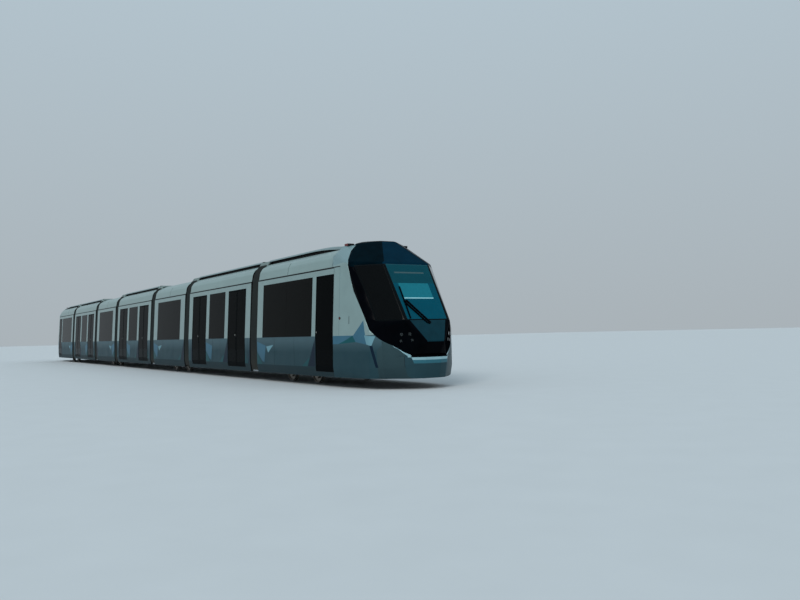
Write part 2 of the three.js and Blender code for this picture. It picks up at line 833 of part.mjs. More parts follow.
const cabShell = silver
  .subtract(alongY(APRON_SIDE, -WIDE, WIDE))
  .subtract(alongY(CAP_CLEAR, -WIDE, WIDE));
const CAB_PLAN = [
  [CAB_FROM, FLOOR_HALF],
  [BULKHEAD - 10, FLOOR_HALF],
  [BULKHEAD - 10, 1200],
  [20640, 1050],
  [20990, 730],
];
const cabBenches = BOGIE_SEATS.map(([d, face, base]) => [CAB_BOGIE + d, face, base]);
const SUNK = FLOOR - SINK;
const desk = hull(both([
  [20560, 700, SUNK],
  [20560, 700, 1080],
  [20900, 560, SUNK],
  [20980, 500, 1240],
  [20650, 640, 1240],
]));
const DRIVER = 20080;
const DRIVER_HALF = 240;
const DRIVER_REAR = DRIVER - 220;
const DRIVER_LOW = 760;
const DRIVER_TOP = 850;
const DRIVER_BACK = [DRIVER_REAR - BACK_THICK, DRIVER_REAR + SINK];
const driver = box(DRIVER_REAR, DRIVER + 220, -DRIVER_HALF, DRIVER_HALF, DRIVER_LOW, DRIVER_TOP)
  .add(box(...DRIVER_BACK, -DRIVER_HALF, DRIVER_HALF, DRIVER_LOW, DRIVER_TOP + 650))
  .add(rod(DRIVER, 0, SUNK, DRIVER_LOW + SINK, 60, 12));
const cabFloor = floorPlate(CAB_PLAN, CAB_BOGIE, [[END_AXIS, 1]], [], cabBenches).add(desk).add(driver);
['m1', 'm7'].forEach((name, turned) => {
  piece(`${name}_body`, cutOpenings(cabSaloon, CAB_WINDOWS, CAB_DOORS), 'silver', turned);
  piece(`${name}_cab`, cabShell, 'silver', turned);
  piece(`${name}_mask`, mask, 'mask', turned);
  piece(`${name}_windscreen`, screen, 'screen', turned);
  piece(`${name}_apron`, apron, 'apron', turned);
  piece(`${name}_roof`, cabRoof(CAB_FROM, ROOF_END - GAP), 'roof', turned);
  piece(`${name}_floor`, cabFloor, 'floor', turned);
  piece(`${name}_glazing`, glazing(CAB_WINDOWS), 'glass', turned);
  piece(`${name}_doors`, doorSet(CAB_DOORS), 'door', turned);
  piece(`${name}_bogie`, bogieFrame(CAB_BOGIE), 'frame', turned);
  piece(`${name}_wheelset_a`, wheelset(CAB_BOGIE + WHEELBASE / 2), 'steel', turned);
  piece(`${name}_wheelset_b`, wheelset(CAB_BOGIE - WHEELBASE / 2), 'steel', turned);
});

// Bellows between the sections, named after the sections they join
const PIVOTS = [
  ['bellows_12', END_AXIS, 0],
  ['bellows_23', MID_AXIS, 0],
  ['bellows_34', IN_AXIS, 0],
  ['bellows_45', IN_AXIS, 1],
  ['bellows_56', MID_AXIS, 1],
  ['bellows_67', END_AXIS, 1],
];
for (const [name, axis, turned] of PIVOTS) {
  piece(name, bellows(axis), 'rubber', turned);
}

export default tram;
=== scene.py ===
# Looks of the articulated low-floor tram, half of full size.
# Tables are millimetres of the full-size tram over the rail top, as in the CAD source.
# pt() turns them into metres of the model; +X is forward, +Y is left, +Z is up.
import json
import math
import bmesh
import bpy
from mathutils import Matrix, Vector
from mathutils.bvhtree import BVHTree

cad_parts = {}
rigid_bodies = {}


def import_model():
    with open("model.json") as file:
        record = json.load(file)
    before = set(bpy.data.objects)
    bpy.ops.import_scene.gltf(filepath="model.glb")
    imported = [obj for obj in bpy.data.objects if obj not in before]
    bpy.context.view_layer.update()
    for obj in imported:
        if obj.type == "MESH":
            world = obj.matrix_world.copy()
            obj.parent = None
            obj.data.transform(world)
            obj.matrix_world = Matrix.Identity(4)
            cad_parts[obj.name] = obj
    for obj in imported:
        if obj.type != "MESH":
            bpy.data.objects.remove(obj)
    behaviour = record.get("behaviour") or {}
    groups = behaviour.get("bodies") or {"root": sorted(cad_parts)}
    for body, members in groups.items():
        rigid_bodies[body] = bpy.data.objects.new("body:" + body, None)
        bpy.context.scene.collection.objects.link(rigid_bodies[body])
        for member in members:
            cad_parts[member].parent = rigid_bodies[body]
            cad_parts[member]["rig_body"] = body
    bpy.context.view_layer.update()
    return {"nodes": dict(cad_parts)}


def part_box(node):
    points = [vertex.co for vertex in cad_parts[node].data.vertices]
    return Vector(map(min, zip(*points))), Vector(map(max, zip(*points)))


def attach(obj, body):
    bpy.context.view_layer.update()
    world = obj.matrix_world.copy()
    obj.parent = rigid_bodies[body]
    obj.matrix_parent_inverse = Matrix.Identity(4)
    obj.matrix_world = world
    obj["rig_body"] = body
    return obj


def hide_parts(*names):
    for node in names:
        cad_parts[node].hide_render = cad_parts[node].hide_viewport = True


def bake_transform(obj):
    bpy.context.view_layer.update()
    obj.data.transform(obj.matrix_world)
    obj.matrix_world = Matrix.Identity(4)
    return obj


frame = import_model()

SCALE = 0.0005
FLANGE = 26
IN_AXIS = 3220
MID_AXIS = 7860
END_AXIS = 14300
HALF_BELLOWS = 280
BODY_END = 19340
BULKHEAD = 19420
SKIRT = 220
KNEE = 450
SILL = 1200
EAVES = 2850
HALF_WIDTH = 1325
HALF_SKIRT = 1290
HALF_EAVES = 1245
CEILING = 2620
FLOOR = 380
PODIUM_TOP = 720
GLASS_TOP = 2680
DOOR_FOOT = 340
WHEEL_R = 295
WHEEL_BACK = 683
WHEEL_FACE = 790
AXLE_R = 52
AXLE_END = 984
HALF_WHEELBASE = 800
CAB_BOGIE = 16580
CAB_DOOR = 18390
COVER_TOP = 3452
PLAIN_TOP = 3385
# Sections m5 to m7 are turned twins of m3 to m1, and start behind this place, in metres
FAR = ("m5", "m6", "m7")
FAR_HALF = -1.6
CABS = ("m1", "m7")
# Edges that turn by more degrees stay sharp
SMOOTH_LIMIT = 38


def pt(x, y, z):
    return Vector((x * SCALE, y * SCALE, (z + FLANGE) * SCALE))


# Middle of a face in full-size millimetres
def centre_of(face):
    c = face.calc_center_median()
    return c.x / SCALE, c.y / SCALE, c.z / SCALE - FLANGE


def add_object(name, data):
    o = bpy.data.objects.new(name, data)
    bpy.context.scene.collection.objects.link(o)
    return o


# Camera, fitted to the photograph: place, angles in radians, focal length and width in pixels
CAMERA_AT = (36293.5, -10017.3, 1211.5)
YAW, PITCH, ROLL = 0.5589, 0.0424, -0.0238
FOCAL = 799.47
PHOTO_WIDTH = 800
SENSOR = 36.0


def camera():
    ahead = Vector((-math.cos(YAW) * math.cos(PITCH), math.sin(YAW) * math.cos(PITCH), math.sin(PITCH)))
    right = ahead.cross(Vector((0, 0, 1))).normalized()
    up = right.cross(ahead)
    right_r = right * math.cos(ROLL) + up * math.sin(ROLL)
    up_r = up * math.cos(ROLL) - right * math.sin(ROLL)
    data = bpy.data.cameras.new("camera")
    data.sensor_fit = "HORIZONTAL"
    data.sensor_width = SENSOR
    data.lens = FOCAL / PHOTO_WIDTH * SENSOR
    data.clip_end = 500
    o = add_object("camera", data)
    rotation = Matrix((right_r, up_r, -ahead)).transposed().to_4x4()
    o.matrix_world = Matrix.Translation(pt(*CAMERA_AT)) @ rotation
    bpy.context.scene.camera = o


camera()


# Materials
def linear(rgb):
    return tuple((c / 255 / 12.92) if c <= 10 else ((c / 255 + 0.055) / 1.055) ** 2.4 for c in rgb) + (1.0,)


# Map a node's output from one range to another
def remap(tree, source, given, wanted=(0.0, 1.0)):
    node = tree.nodes.new("ShaderNodeMapRange")
    for socket, value in zip(("From Min", "From Max", "To Min", "To Max"), (*given, *wanted)):
        node.inputs[socket].default_value = value
    tree.links.new(source, node.inputs["Value"])
    return node.outputs["Result"]


# Roughness varies by this much either way; the fine relief's depth in metres and its finer grain
WEAR = 0.06
RELIEF = 0.002
FINE = 14


# Base colour with soft variation (grain, spread), fine relief (bump) and another colour below (dust, soil,
# fading between two heights in metres): dust with the default colour, only a darker tone towards the bottom
# with the darker ones
def material(name, rgb, rough, grain, spread, bump, metal=0.0, coat=0.0, dust=0.0, clear=0.0, ior=1.5,
             shine=0.5, soil=(112, 104, 92), fade=(0.16, 0.56)):
    m = bpy.data.materials.new(name)
    m.use_nodes = True
    tree = m.node_tree
    nodes, links = tree.nodes, tree.links
    shader = nodes["Principled BSDF"]
    coord = nodes.new("ShaderNodeTexCoord")
    noise = nodes.new("ShaderNodeTexNoise")
    noise.inputs["Scale"].default_value = grain
    noise.inputs["Detail"].default_value = 5.0
    links.new(coord.outputs["Object"], noise.inputs["Vector"])
    tone = remap(tree, noise.outputs["Fac"], (0.3, 0.7), (1 - spread, 1 + spread))
    shade = nodes.new("ShaderNodeVectorMath")
    shade.operation = "SCALE"
    shade.inputs[0].default_value = linear(rgb)[:3]
    links.new(tone, shade.inputs["Scale"])
    colour = shade.outputs["Vector"]
    if dust:
        split = nodes.new("ShaderNodeSeparateXYZ")
        links.new(coord.outputs["Object"], split.inputs["Vector"])
        patch = nodes.new("ShaderNodeMath")
        patch.operation = "MULTIPLY"
        links.new(remap(tree, split.outputs["Z"], fade, (dust / 2, 0.0)), patch.inputs[0])
        links.new(tone, patch.inputs[1])
        mix = nodes.new("ShaderNodeMix")
        mix.data_type = "RGBA"
        mix.inputs["B"].default_value = linear(soil)
        links.new(patch.outputs["Value"], mix.inputs["Factor"])
        links.new(colour, mix.inputs["A"])
        colour = mix.outputs["Result"]
    links.new(colour, shader.inputs["Base Color"])
    wear = remap(tree, noise.outputs["Fac"], (0.0, 1.0), (max(0.0, rough - WEAR), min(1.0, rough + WEAR)))
    links.new(wear, shader.inputs["Roughness"])
    plain = {"Metallic": metal, "Coat Weight": coat, "IOR": ior, "Specular IOR Level": shine,
             "Transmission Weight": clear}
    for socket, value in plain.items():
        shader.inputs[socket].default_value = value
    if bump:
        fine = nodes.new("ShaderNodeTexNoise")
        fine.inputs["Scale"].default_value = grain * FINE
        links.new(coord.outputs["Object"], fine.inputs["Vector"])
        lift = nodes.new("ShaderNodeBump")
        lift.inputs["Strength"].default_value = bump
        lift.inputs["Distance"].default_value = RELIEF
        links.new(fine.outputs["Fac"], lift.inputs["Height"])
        links.new(lift.outputs["Normal"], shader.inputs["Normal"])
    return m


# Colour, roughness, grain, spread and bump, then what differs from the defaults
FINISHES = {
    "silver": ((132, 155, 154), 0.36, 5, 0.05, 0.04, dict(metal=0.3, coat=0.2, dust=0.2)),
    # A darker copy of the silver for the nose's shoulder, a painted shade
    "shaded_shoulder": ((113, 139, 143), 0.42, 5, 0.05, 0.04, dict(metal=0.15, coat=0.05)),
    "fairing": ((132, 154, 152), 0.38, 4, 0.05, 0.04, dict(metal=0.25, coat=0.15)),
    # The belt and the livery paints below it turn darker towards the bottom
    "belt": ((66, 90, 98), 0.45, 5, 0.06, 0.04, dict(metal=0.05, dust=1.9, shine=0.08, soil=(36, 62, 70),
        fade=(0.42, 0.57))),
    "lower": ((30, 54, 62), 0.5, 5, 0.08, 0.04, dict(dust=0.8, shine=0.08, soil=(28, 34, 34))),
    # lip and its dim part: silver edges with a painted highlight, where the rounded apron under the mask and
    # the bumper catch the light
    "lip": ((138, 176, 185), 0.3, 5, 0.05, 0.03, dict(metal=0.2, coat=0.1, shine=0.4)),
    "dim_edge_highlight": ((84, 116, 126), 0.4, 5, 0.05, 0.03, dict(metal=0.1, coat=0.1, shine=0.3)),
    "navy": ((12, 30, 46), 0.42, 5, 0.08, 0.03, dict(dust=0.3, shine=0.08, soil=(16, 30, 38))),
    "teal": ((22, 80, 86), 0.42, 5, 0.08, 0.03, dict(dust=0.8, shine=0.1, soil=(16, 40, 46))),
    "sky": ((60, 102, 122), 0.42, 5, 0.08, 0.03, dict(metal=0.05, dust=0.8, shine=0.1, soil=(18, 50, 62))),
    "pale": ((106, 148, 160), 0.42, 5, 0.08, 0.03, dict(metal=0.1, dust=0.3, shine=0.1, soil=(30, 60, 70))),
    "bumper_low": ((40, 94, 108), 0.4, 7, 0.05, 0.03, dict(metal=0.1, shine=0.3)),
    "low_front": ((50, 71, 76), 0.42, 5, 0.06, 0.04, dict(metal=0.05, dust=0.8, shine=0.1,
        soil=(22, 38, 44))),
    "mask": ((2, 3, 6), 0.2, 9, 0.25, 0, dict(ior=1.08)),
    "mask_low": ((4, 6, 9), 0.5, 9, 0.25, 0, dict(shine=0.0)),
    # hood and head: the black mask's upper facets with a painted reflection of the sky, dim on the hood and
    # brighter on the head above the windscreen
    "hood": ((1, 15, 22), 0.3, 9, 0.25, 0, dict(ior=1.04)),
    "head": ((2, 34, 50), 0.3, 9, 0.12, 0, dict(ior=1.04)),
    "chin": ((8, 44, 54), 0.22, 9, 0.12, 0, dict(ior=1.15)),
    "screen": ((2, 76, 94), 0.05, 9, 0.05, 0, dict(clear=0.2, ior=1.12)),
    "screen_top": ((5, 68, 80), 0.05, 9, 0.08, 0, dict(clear=0.2, ior=1.15)),
    "side_glass": ((9, 11, 12), 0.03, 9, 0.1, 0, dict(clear=0.3, ior=1.15)),
    "glass": ((16, 17, 15), 0.03, 9, 0.08, 0, dict(clear=0.5, ior=1.08)),
    "door_glass": ((8, 11, 12), 0.03, 9, 0.08, 0, dict(clear=0.4, ior=1.05)),
    "frit": ((4, 7, 9), 0.18, 12, 0.2, 0, dict(ior=1.15)),
    "door": ((5, 8, 10), 0.3, 12, 0.15, 0.02, dict(dust=0.2, ior=1.04, soil=(30, 32, 32))),
    "seal": ((10, 12, 13), 0.7, 30, 0.15, 0.1, dict(shine=0.2)),
    "bellows": ((29, 36, 36), 0.8, 24, 0.18, 0.25, dict(dust=0.2, shine=0.3)),
    "bellows_in": ((72, 76, 78), 0.8, 24, 0.12, 0.2, {}),
    # The bellows' top: its dark rubber painted pale as a painted highlight
    "bellows_cap": ((112, 128, 128), 0.7, 24, 0.12, 0.2, dict(shine=0.3)),
    # slot: near black for dark joints, grooves and a door, and painted shade inside the roofs' slots
    "slot": ((7, 9, 11), 0.6, 20, 0.2, 0.1, dict(shine=0.2)),
    "cover": ((118, 138, 140), 0.42, 6, 0.08, 0.06, dict(metal=0.25, coat=0.1)),
    "grille": ((44, 52, 55), 0.5, 20, 0.15, 0.1, dict(metal=0.5)),
    "floor": ((70, 76, 80), 0.7, 60, 0.25, 0.15, {}),
    "under": ((36, 38, 39), 0.7, 14, 0.25, 0.2, dict(metal=0.3, dust=0.6)),
    "inside": ((150, 154, 150), 0.5, 10, 0.04, 0.05, {}),
    # dark_in: the cab's bulkhead, nearly black as painted shade
    "dark_in": ((18, 22, 24), 0.7, 18, 0.15, 0.1, dict(shine=0.2)),
    "seat": ((28, 62, 96), 0.85, 120, 0.3, 0.3, {}),
    "shell": ((100, 106, 110), 0.5, 20, 0.08, 0.05, dict(coat=0.1)),
    "pole": ((190, 186, 176), 0.25, 20, 0.06, 0.02, dict(metal=0.9)),
    "frame": ((44, 46, 46), 0.6, 14, 0.3, 0.25, dict(metal=0.4, dust=0.6)),
    "steel": ((120, 114, 106), 0.4, 18, 0.2, 0.12, dict(metal=0.85, dust=0.3)),
    "tread": ((170, 166, 160), 0.22, 18, 0.08, 0.04, dict(metal=0.95)),
    "rust": ((70, 58, 50), 0.7, 16, 0.35, 0.3, dict(metal=0.5)),
    "lamp": ((120, 126, 130), 0.2, 30, 0.05, 0.02, dict(metal=0.7)),
    "lens": ((70, 78, 82), 0.04, 30, 0.03, 0, dict(clear=0.8, ior=1.3)),
    "red": ((96, 18, 20), 0.3, 30, 0.1, 0.02, dict(coat=0.1, shine=0.3)),
    "blind": ((22, 104, 118), 0.1, 30, 0.06, 0.02, dict(ior=1.15)),
    "bar": ((150, 206, 214), 0.2, 60, 0.05, 0.05, {}),
    "band": ((40, 70, 74), 0.2, 60, 0.1, 0.05, {}),
}
MATERIALS = {name: material(name, *row, **rest) for name, (*row, rest) in FINISHES.items()}


# Faces between two rings of n corners each, the second after the first
def sides_of(n):
    return [(i, (i + 1) % n, n + (i + 1) % n, n + i) for i in range(n)]


# Those faces with the two ends
def drum(n):
    return [tuple(range(n)), tuple(range(2 * n - 1, n - 1, -1))] + sides_of(n)


def angles(count):
    return [2 * math.pi * i / count for i in range(count)]


# Place of a paint in a list, added at its end when it is new
def index_in(names, name):
    if name not in names:
        names.append(name)
    return names.index(name)


def face_out(bm):
    bmesh.ops.recalc_face_normals(bm, faces=bm.faces)


def drop(bm, faces):
    bmesh.ops.delete(bm, geom=faces, context="FACES")


# Cut faces along a plane; their edges and corners go with them, each once and in order
def bisect(bm, faces, at, normal):
    parts = []
    for f in faces:
        parts += [f] + f.edges[:] + f.verts[:]
    bmesh.ops.bisect_plane(bm, geom=list(dict.fromkeys(parts)), dist=1e-6, plane_co=at, plane_no=normal)


# Mesh of vertices and faces, given in full-size millimetres
class Shape:
    def __init__(self):
        self.bm = bmesh.new()
        self.names = []

    def solid(self, verts, faces, m):
        vs = [self.bm.verts.new(pt(*v)) for v in verts]
        k = index_in(self.names, m)
        for f in faces:
            self.bm.faces.new([vs[i] for i in f]).material_index = k

    def box(self, x0, x1, y0, y1, z0, z1, m):
        v = [(x, y, z) for x in (x0, x1) for y in (y0, y1) for z in (z0, z1)]
        f = [(0, 1, 3, 2), (4, 6, 7, 5), (0, 4, 5, 1), (2, 3, 7, 6), (0, 2, 6, 4), (1, 5, 7, 3)]
        self.solid(v, f, m)

    # Eight corners given as two quads
    def block(self, low, high, m):
        f = [(3, 2, 1, 0), (4, 5, 6, 7), (0, 1, 5, 4), (1, 2, 6, 5), (2, 3, 7, 6), (3, 0, 4, 7)]
        self.solid(list(low) + list(high), f, m)

    # Outline of (y, z) corners run along X
    def prism(self, outline, x0, x1, m):
        self.solid([(x, y, z) for x in (x0, x1) for y, z in outline], drum(len(outline)), m)

    # Round bar between two points, with another radius at its end where one is given
    def rod(self, a, b, radius, sides, m, end=None):
        a, b = Vector(a), Vector(b)
        along = (b - a).normalized()
        side = along.orthogonal().normalized()
        other = along.cross(side)
        ring = [side * math.cos(t) + other * math.sin(t) for t in angles(sides)]
        verts = [a + r * radius for r in ring] + [b + r * (end or radius) for r in ring]
        ends = [tuple(range(sides - 1, -1, -1)), tuple(range(sides, 2 * sides))]
        self.solid([tuple(v) for v in verts], ends + sides_of(sides), m)

    # Ring about an axis along Y, or along Z when flat: rows of (radius, place)
    def ring(self, centre, rows, sides, m, flat=False):
        x, y, z = centre
        verts = []
        for r, w in rows:
            for t in angles(sides):
                if flat:
                    verts.append((x + r * math.cos(t), y + r * math.sin(t), z + w))
                else:
                    verts.append((x + r * math.cos(t), y + w, z + r * math.sin(t)))
        faces = []
        for k in range(len(rows)):
            here, there = k * sides, (k + 1) % len(rows) * sides
            for i in range(sides):
                j = (i + 1) % sides
                faces.append((here + i, here + j, there + j, there + i))
        self.solid(verts, faces, m)

    # Add the same again on the other side
    def mirror(self):
        whole = self.bm.verts[:] + self.bm.edges[:] + self.bm.faces[:]
        twin = bmesh.ops.duplicate(self.bm, geom=whole)["geom"]
        for part in twin:
            if isinstance(part, bmesh.types.BMVert):
                part.co.y = -part.co.y
        faces = [part for part in twin if isinstance(part, bmesh.types.BMFace)]
        bmesh.ops.reverse_faces(self.bm, faces=faces)


def sharp_edges(bm, angle):
    limit = math.radians(angle)
    return [e for e in bm.edges if len(e.link_faces) == 2 and e.calc_face_angle(0.0) > limit]


# Make a piece of a mesh: moved to the far half when turned, and bevelled, or a skin made thick
def finish_piece(bm, names, name, body, slot, replaces=(), turned=False, bevel=0.0, angle=30, segments=2,
                 thick=0.0):
    bm = bm.copy()
    if turned:
        for v in bm.verts:
            v.co.x, v.co.y = -v.co.x, -v.co.y
        bm.normal_update()
    if not thick:
        face_out(bm)
    if bevel:
        edges = sharp_edges(bm, angle)
        bmesh.ops.bevel(bm, geom=edges, offset=bevel * SCALE, segments=segments, profile=0.6,
                        affect="EDGES", clamp_overlap=True)
    mesh = bpy.data.meshes.new(name)
    bm.to_mesh(mesh)
    bm.free()
    for n in names:
        mesh.materials.append(MATERIALS[n])
    mesh.shade_smooth()
    mesh.set_sharp_from_angle(angle=math.radians(SMOOTH_LIMIT))
    o = add_object(name, mesh)
    if thick:
        wall = o.modifiers.new("wall", "SOLIDIFY")
        wall.thickness = thick * SCALE
        wall.offset = -1
        wall.use_even_offset = True
    even = o.modifiers.new("even", "WEIGHTED_NORMAL")
    even.keep_sharp = True
    if body:
        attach(o, body)
    if replaces:
        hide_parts(*replaces)
    return o


def make(shape, name, body, slot, **options):
    return finish_piece(shape.bm, shape.names, name, body, slot, turned=name[:2] in FAR, **options)


# Paint each face by where it is and where it looks
def painted(bm, paint, turned=1):
    names = []
    bm.normal_update()
    for f in bm.faces:
        x, y, z = centre_of(f)
        side = 1 if y > 0 else -1
        n = Vector((f.normal.x * turned, f.normal.y * side, f.normal.z))
        f.material_index = index_in(names, paint(x * turned, abs(y), z, n))
    return names


# Rounded copy of a CAD node
def dress(node, name, slot, paint, bevel=4.0, angle=20):
    bm = bmesh.new()
    bm.from_mesh(frame["nodes"][node].data)
    bmesh.ops.remove_doubles(bm, verts=bm.verts, dist=1e-5)
    bmesh.ops.dissolve_limit(bm, angle_limit=math.radians(0.5), verts=bm.verts, edges=bm.edges)
    names = painted(bm, paint, -1 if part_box(node)[0].x < FAR_HALF else 1)
    body = frame["nodes"][node]["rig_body"]
    return finish_piece(bm, names, name, body, slot, replaces=(node,), bevel=bevel, angle=angle)


def half_at(z):
    if z < KNEE:
        return HALF_SKIRT + (HALF_WIDTH - HALF_SKIRT) * (z - SKIRT) / (KNEE - SKIRT)
    if z < SILL:
        return HALF_WIDTH
    return HALF_WIDTH + (HALF_EAVES - HALF_WIDTH) * (z - SILL) / (EAVES - SILL)


# Slab in the side wall between two depths under the outside
def slab(shape, x0, x1, z0, z1, outer, inner, m):
    stops = [z0] + [z for z in (KNEE, SILL) if z0 < z < z1] + [z1]
    outline = [(half_at(z) - outer, z) for z in stops] + [(half_at(z) - inner, z) for z in reversed(stops)]
    shape.prism(outline, x0, x1, m)


# Four slabs round a window or door: heights of foot and head, width of the uprights between them
def border(shape, x0, x1, z0, z1, foot, head, side, outer, inner, m, through=False):
    low, high = (z0, z1) if through else (z0 + foot, z1 - head)
    slab(shape, x0, x1, z0, z0 + foot, outer, inner, m)
    slab(shape, x0, x1, z1 - head, z1, outer, inner, m)
    slab(shape, x0, x0 + side, low, high, outer, inner, m)
    slab(shape, x1 - side, x1, low, high, outer, inner, m)


# Nose facets above the bumper, one convex form from the roof edge to the chin (x, half width, z)
BUMPER_TOP = 715
NOSE_UPPER = [
    (19340, 1325, BUMPER_TOP), (19340, 1325, 1200), (19340, 1245, 2850), (19200, 1227, 2860),
    (19200, 1186, 3070), (19200, 1107, 3190), (19200, 881, 3360), (19200, 640, 3470),
    (19200, 400, 3500), (19430, 660, 3420), (19790, 200, 3467), (19870, 1175, 2920),
    (20575, 625, 2865), (20740, 1132, 1330), (20740, 1131, BUMPER_TOP), (21436, 600, 1500),
    (21177, 790, 1050), (21165, 784, BUMPER_TOP), (21740, 240, 1040), (21490, 430, BUMPER_TOP),
    (21560, 190, BUMPER_TOP),
]
# Skirt and bumper below the chin, and the ledge between the two forms (x, half width)
NOSE_LOWER = [
    (19340, 1290, 220), (19340, 1325, 450), (19340, 1325, BUMPER_TOP), (20740, 1131, BUMPER_TOP),
    (20740, 1130, 450), (20700, 1110, 220), (21165, 784, BUMPER_TOP), (21160, 780, 450),
    (21110, 765, 220), (21517, 440, BUMPER_TOP), (21517, 440, 560), (21440, 430, 220),
    (21620, 200, BUMPER_TOP), (21620, 200, 560), (21540, 190, 220),
]
LEDGE = [(21165, 784), (21517, 440), (21620, 200), (21560, 190), (21490, 430)]
# Side views (x, z): rear edge of the dark mask, the wraparound glass and the bumper apron
MASK_EDGE = [
    (19390, 3600), (19430, 3430), (19555, 3219), (19867, 2924), (19939, 2726), (20030, 2480),
    (20138, 2225), (20338, 1940), (20535, 1659), (20740, 1326), (20856, 1182), (20931, 1111),
    (21006, 1058), (21087, 1007), (21183, 956), (21266, 892), (21348, 812), (21421, 759),
    (21496, 731), (21600, 720),
]
MASK_SIDE = MASK_EDGE + [(22300, 720), (22300, 3600)]
SCREEN_SIDE = [(20030, 2830), (20520, 2062), (20830, 1510), (22000, 1510), (22000, 2830)]
# Painted areas in side view (x, z): outlines with their paint, the first that holds a place wins
AREAS = [
    ([(19330, 2824), (19600, 2830), (19594, 2850), (19330, 2850)], "slot"),
    ([(21354, 470), (21361, 470), (21361, 706), (21354, 706)], "seal"),
    # The pale strips under the mask's edge and along the bumper are silver edges with a painted highlight
    ([(21180, 965), (21290, 890), (21290, 850), (21180, 935)], "dim_edge_highlight"),
    ([(21290, 890), (21430, 770), (21470, 690), (21420, 690), (21290, 850)], "lip"),
    ([(21430, 770), (21700, 780), (21700, 688), (21470, 690)], "mask_low"),
    ([(21470, 690), (21700, 688), (21700, 628), (21490, 634)], "lip"),
    ([(21490, 634), (21700, 628), (21700, 550), (21510, 556)], "bumper_low"),
    ([(19582, 1200), (19588, 1200), (19588, 2824), (19582, 2824)], "belt"),
    ([(19340, 1199), (20120, 1199), (19900, 1110), (19560, 1006), (19340, 1006)], "sky"),
    ([(20150, 1199), (20600, 1199), (20530, 1540), (20380, 1400)], "sky"),
    ([(19560, 1006), (20120, 1199), (20240, 1050)], "teal"),
    ([(20240, 1050), (20120, 1199), (20560, 1199), (20640, 990)], "sky"),
    ([(20640, 990), (20560, 1199), (20860, 1170), (20780, 960)], "pale"),
    ([(20740, 960), (20800, 960), (20900, 470), (20850, 470)], "navy"),
]
FRIT_SIDE = [(20085, 2800), (20551, 2071), (20862, 1540), (22000, 1540), (22000, 2800)]
# Windscreen: half width at its top and how it narrows below, then the clear part, the blank display
# with a thin band, and the blind with a bar along its foot
PANE_HALF, PANE_HIGH, PANE_LEAN = 580, 2865, 0.0403
PANE_FOOT, PANE_TOP = 1535, 2838
DISPLAY_FOOT = 2370
BAND_FOOT, BAND_TOP = 2608, 2642
BLIND_FOOT, BAR_FOOT = 2028, 2008
BLIND_SIDES = (-425, 385)
# Panel under the windscreen: half width at its top and the direction across its sides (y, z)
CHIN_HALF, CHIN_HIGH, CHIN_FOOT = 470, 1500, 1030
CHIN_ACROSS = (0.88, 0.478)
# Cuts of the nose's front (y, z, normal y, normal z)
PANE_CUTS = (
    (PANE_HALF, PANE_HIGH, 1, -PANE_LEAN),
    (-PANE_HALF, PANE_HIGH, 1, PANE_LEAN),
    *((0, z, 0, 1) for z in (PANE_TOP, PANE_FOOT, DISPLAY_FOOT, BLIND_FOOT, BAR_FOOT, BAND_TOP, BAND_FOOT)),
    *((y, 0, 1, 0) for y in BLIND_SIDES),
)
CHIN_CUTS = (
    (CHIN_HALF, CHIN_HIGH, CHIN_ACROSS[0], -CHIN_ACROSS[1]),
    (-CHIN_HALF, CHIN_HIGH, *CHIN_ACROSS),
    (0, CHIN_FOOT, 0, 1),
)
# Rear edge and foot of the hood, rear edges of the bumper apron and its dark front, and its joint
HOOD_REAR = 19400
HOOD_FOOT = 3372
APRON_REAR = 20980
FRONT_REAR = 20880
SEAM = 21358
# The belt's paint ends at this height on the nose, and above this one the shoulder takes a darker copy of
# the silver, a painted shade
BELT_TOP = 985
SHOULDER = 2900
# Line in side view over which the nose is cut away behind the hood, for the roof cover's slope
DIP = [(19150, 3381), (HOOD_REAR, 3371)]
# Cuts of the nose in side view
NOSE_CUTS = [
    MASK_EDGE,
    SCREEN_SIDE + SCREEN_SIDE[:1],
    FRIT_SIDE + FRIT_SIDE[:1],
    [(BODY_END, SKIRT), (BODY_END, EAVES), (BODY_END - 200, EAVES)],
    DIP,
    [(APRON_REAR, 100), (APRON_REAR, 1400)],
    [(FRONT_REAR, 100), (FRONT_REAR, 1180)],
    [(BODY_END, SILL), (21000, SILL)],
    [(HOOD_REAR, 3300), (HOOD_REAR, 3600)],
    *(area + area[:1] for area, _ in AREAS),
]
# Rounding of the nose's edges
NOSE_ROUND = 30


def inside(polygon, x, z):
    hit = False
    for (x0, z0), (x1, z1) in zip(polygon, polygon[1:] + polygon[:1]):
        if (z0 > z) != (z1 > z) and x < (x1 - x0) * (z - z0) / (z1 - z0) + x0:
            hit = not hit
    return hit


# Cut the faces near a line in side view along it
def cut(bm, a, b):
    low = pt(min(a[0], b[0]) - 1, 0, min(a[1], b[1]) - 1)
    high = pt(max(a[0], b[0]) + 1, 0, max(a[1], b[1]) + 1)
    near = []
    for f in bm.faces:
        xs = [v.co.x for v in f.verts]
        zs = [v.co.z for v in f.verts]
        if max(xs) > low.x and min(xs) < high.x and max(zs) > low.z and min(zs) < high.z:
            near.append(f)
    across = Vector((b[1] - a[1], 0, a[0] - b[0])).normalized()
    bisect(bm, near, pt(a[0], 0, a[1]), across)


def looks_ahead(f):
    return f.normal.x > 0.6 and abs(f.normal.y) < 0.5


# Cuts across the faces that look forwards between two heights
def cut_front(bm, rows, low, high):
    for y, z, ny, nz in rows:
        bm.normal_update()
        front = [f for f in bm.faces if looks_ahead(f) and low < centre_of(f)[2] < high]
        bisect(bm, front, pt(0, y, z), Vector((0, ny, nz)))


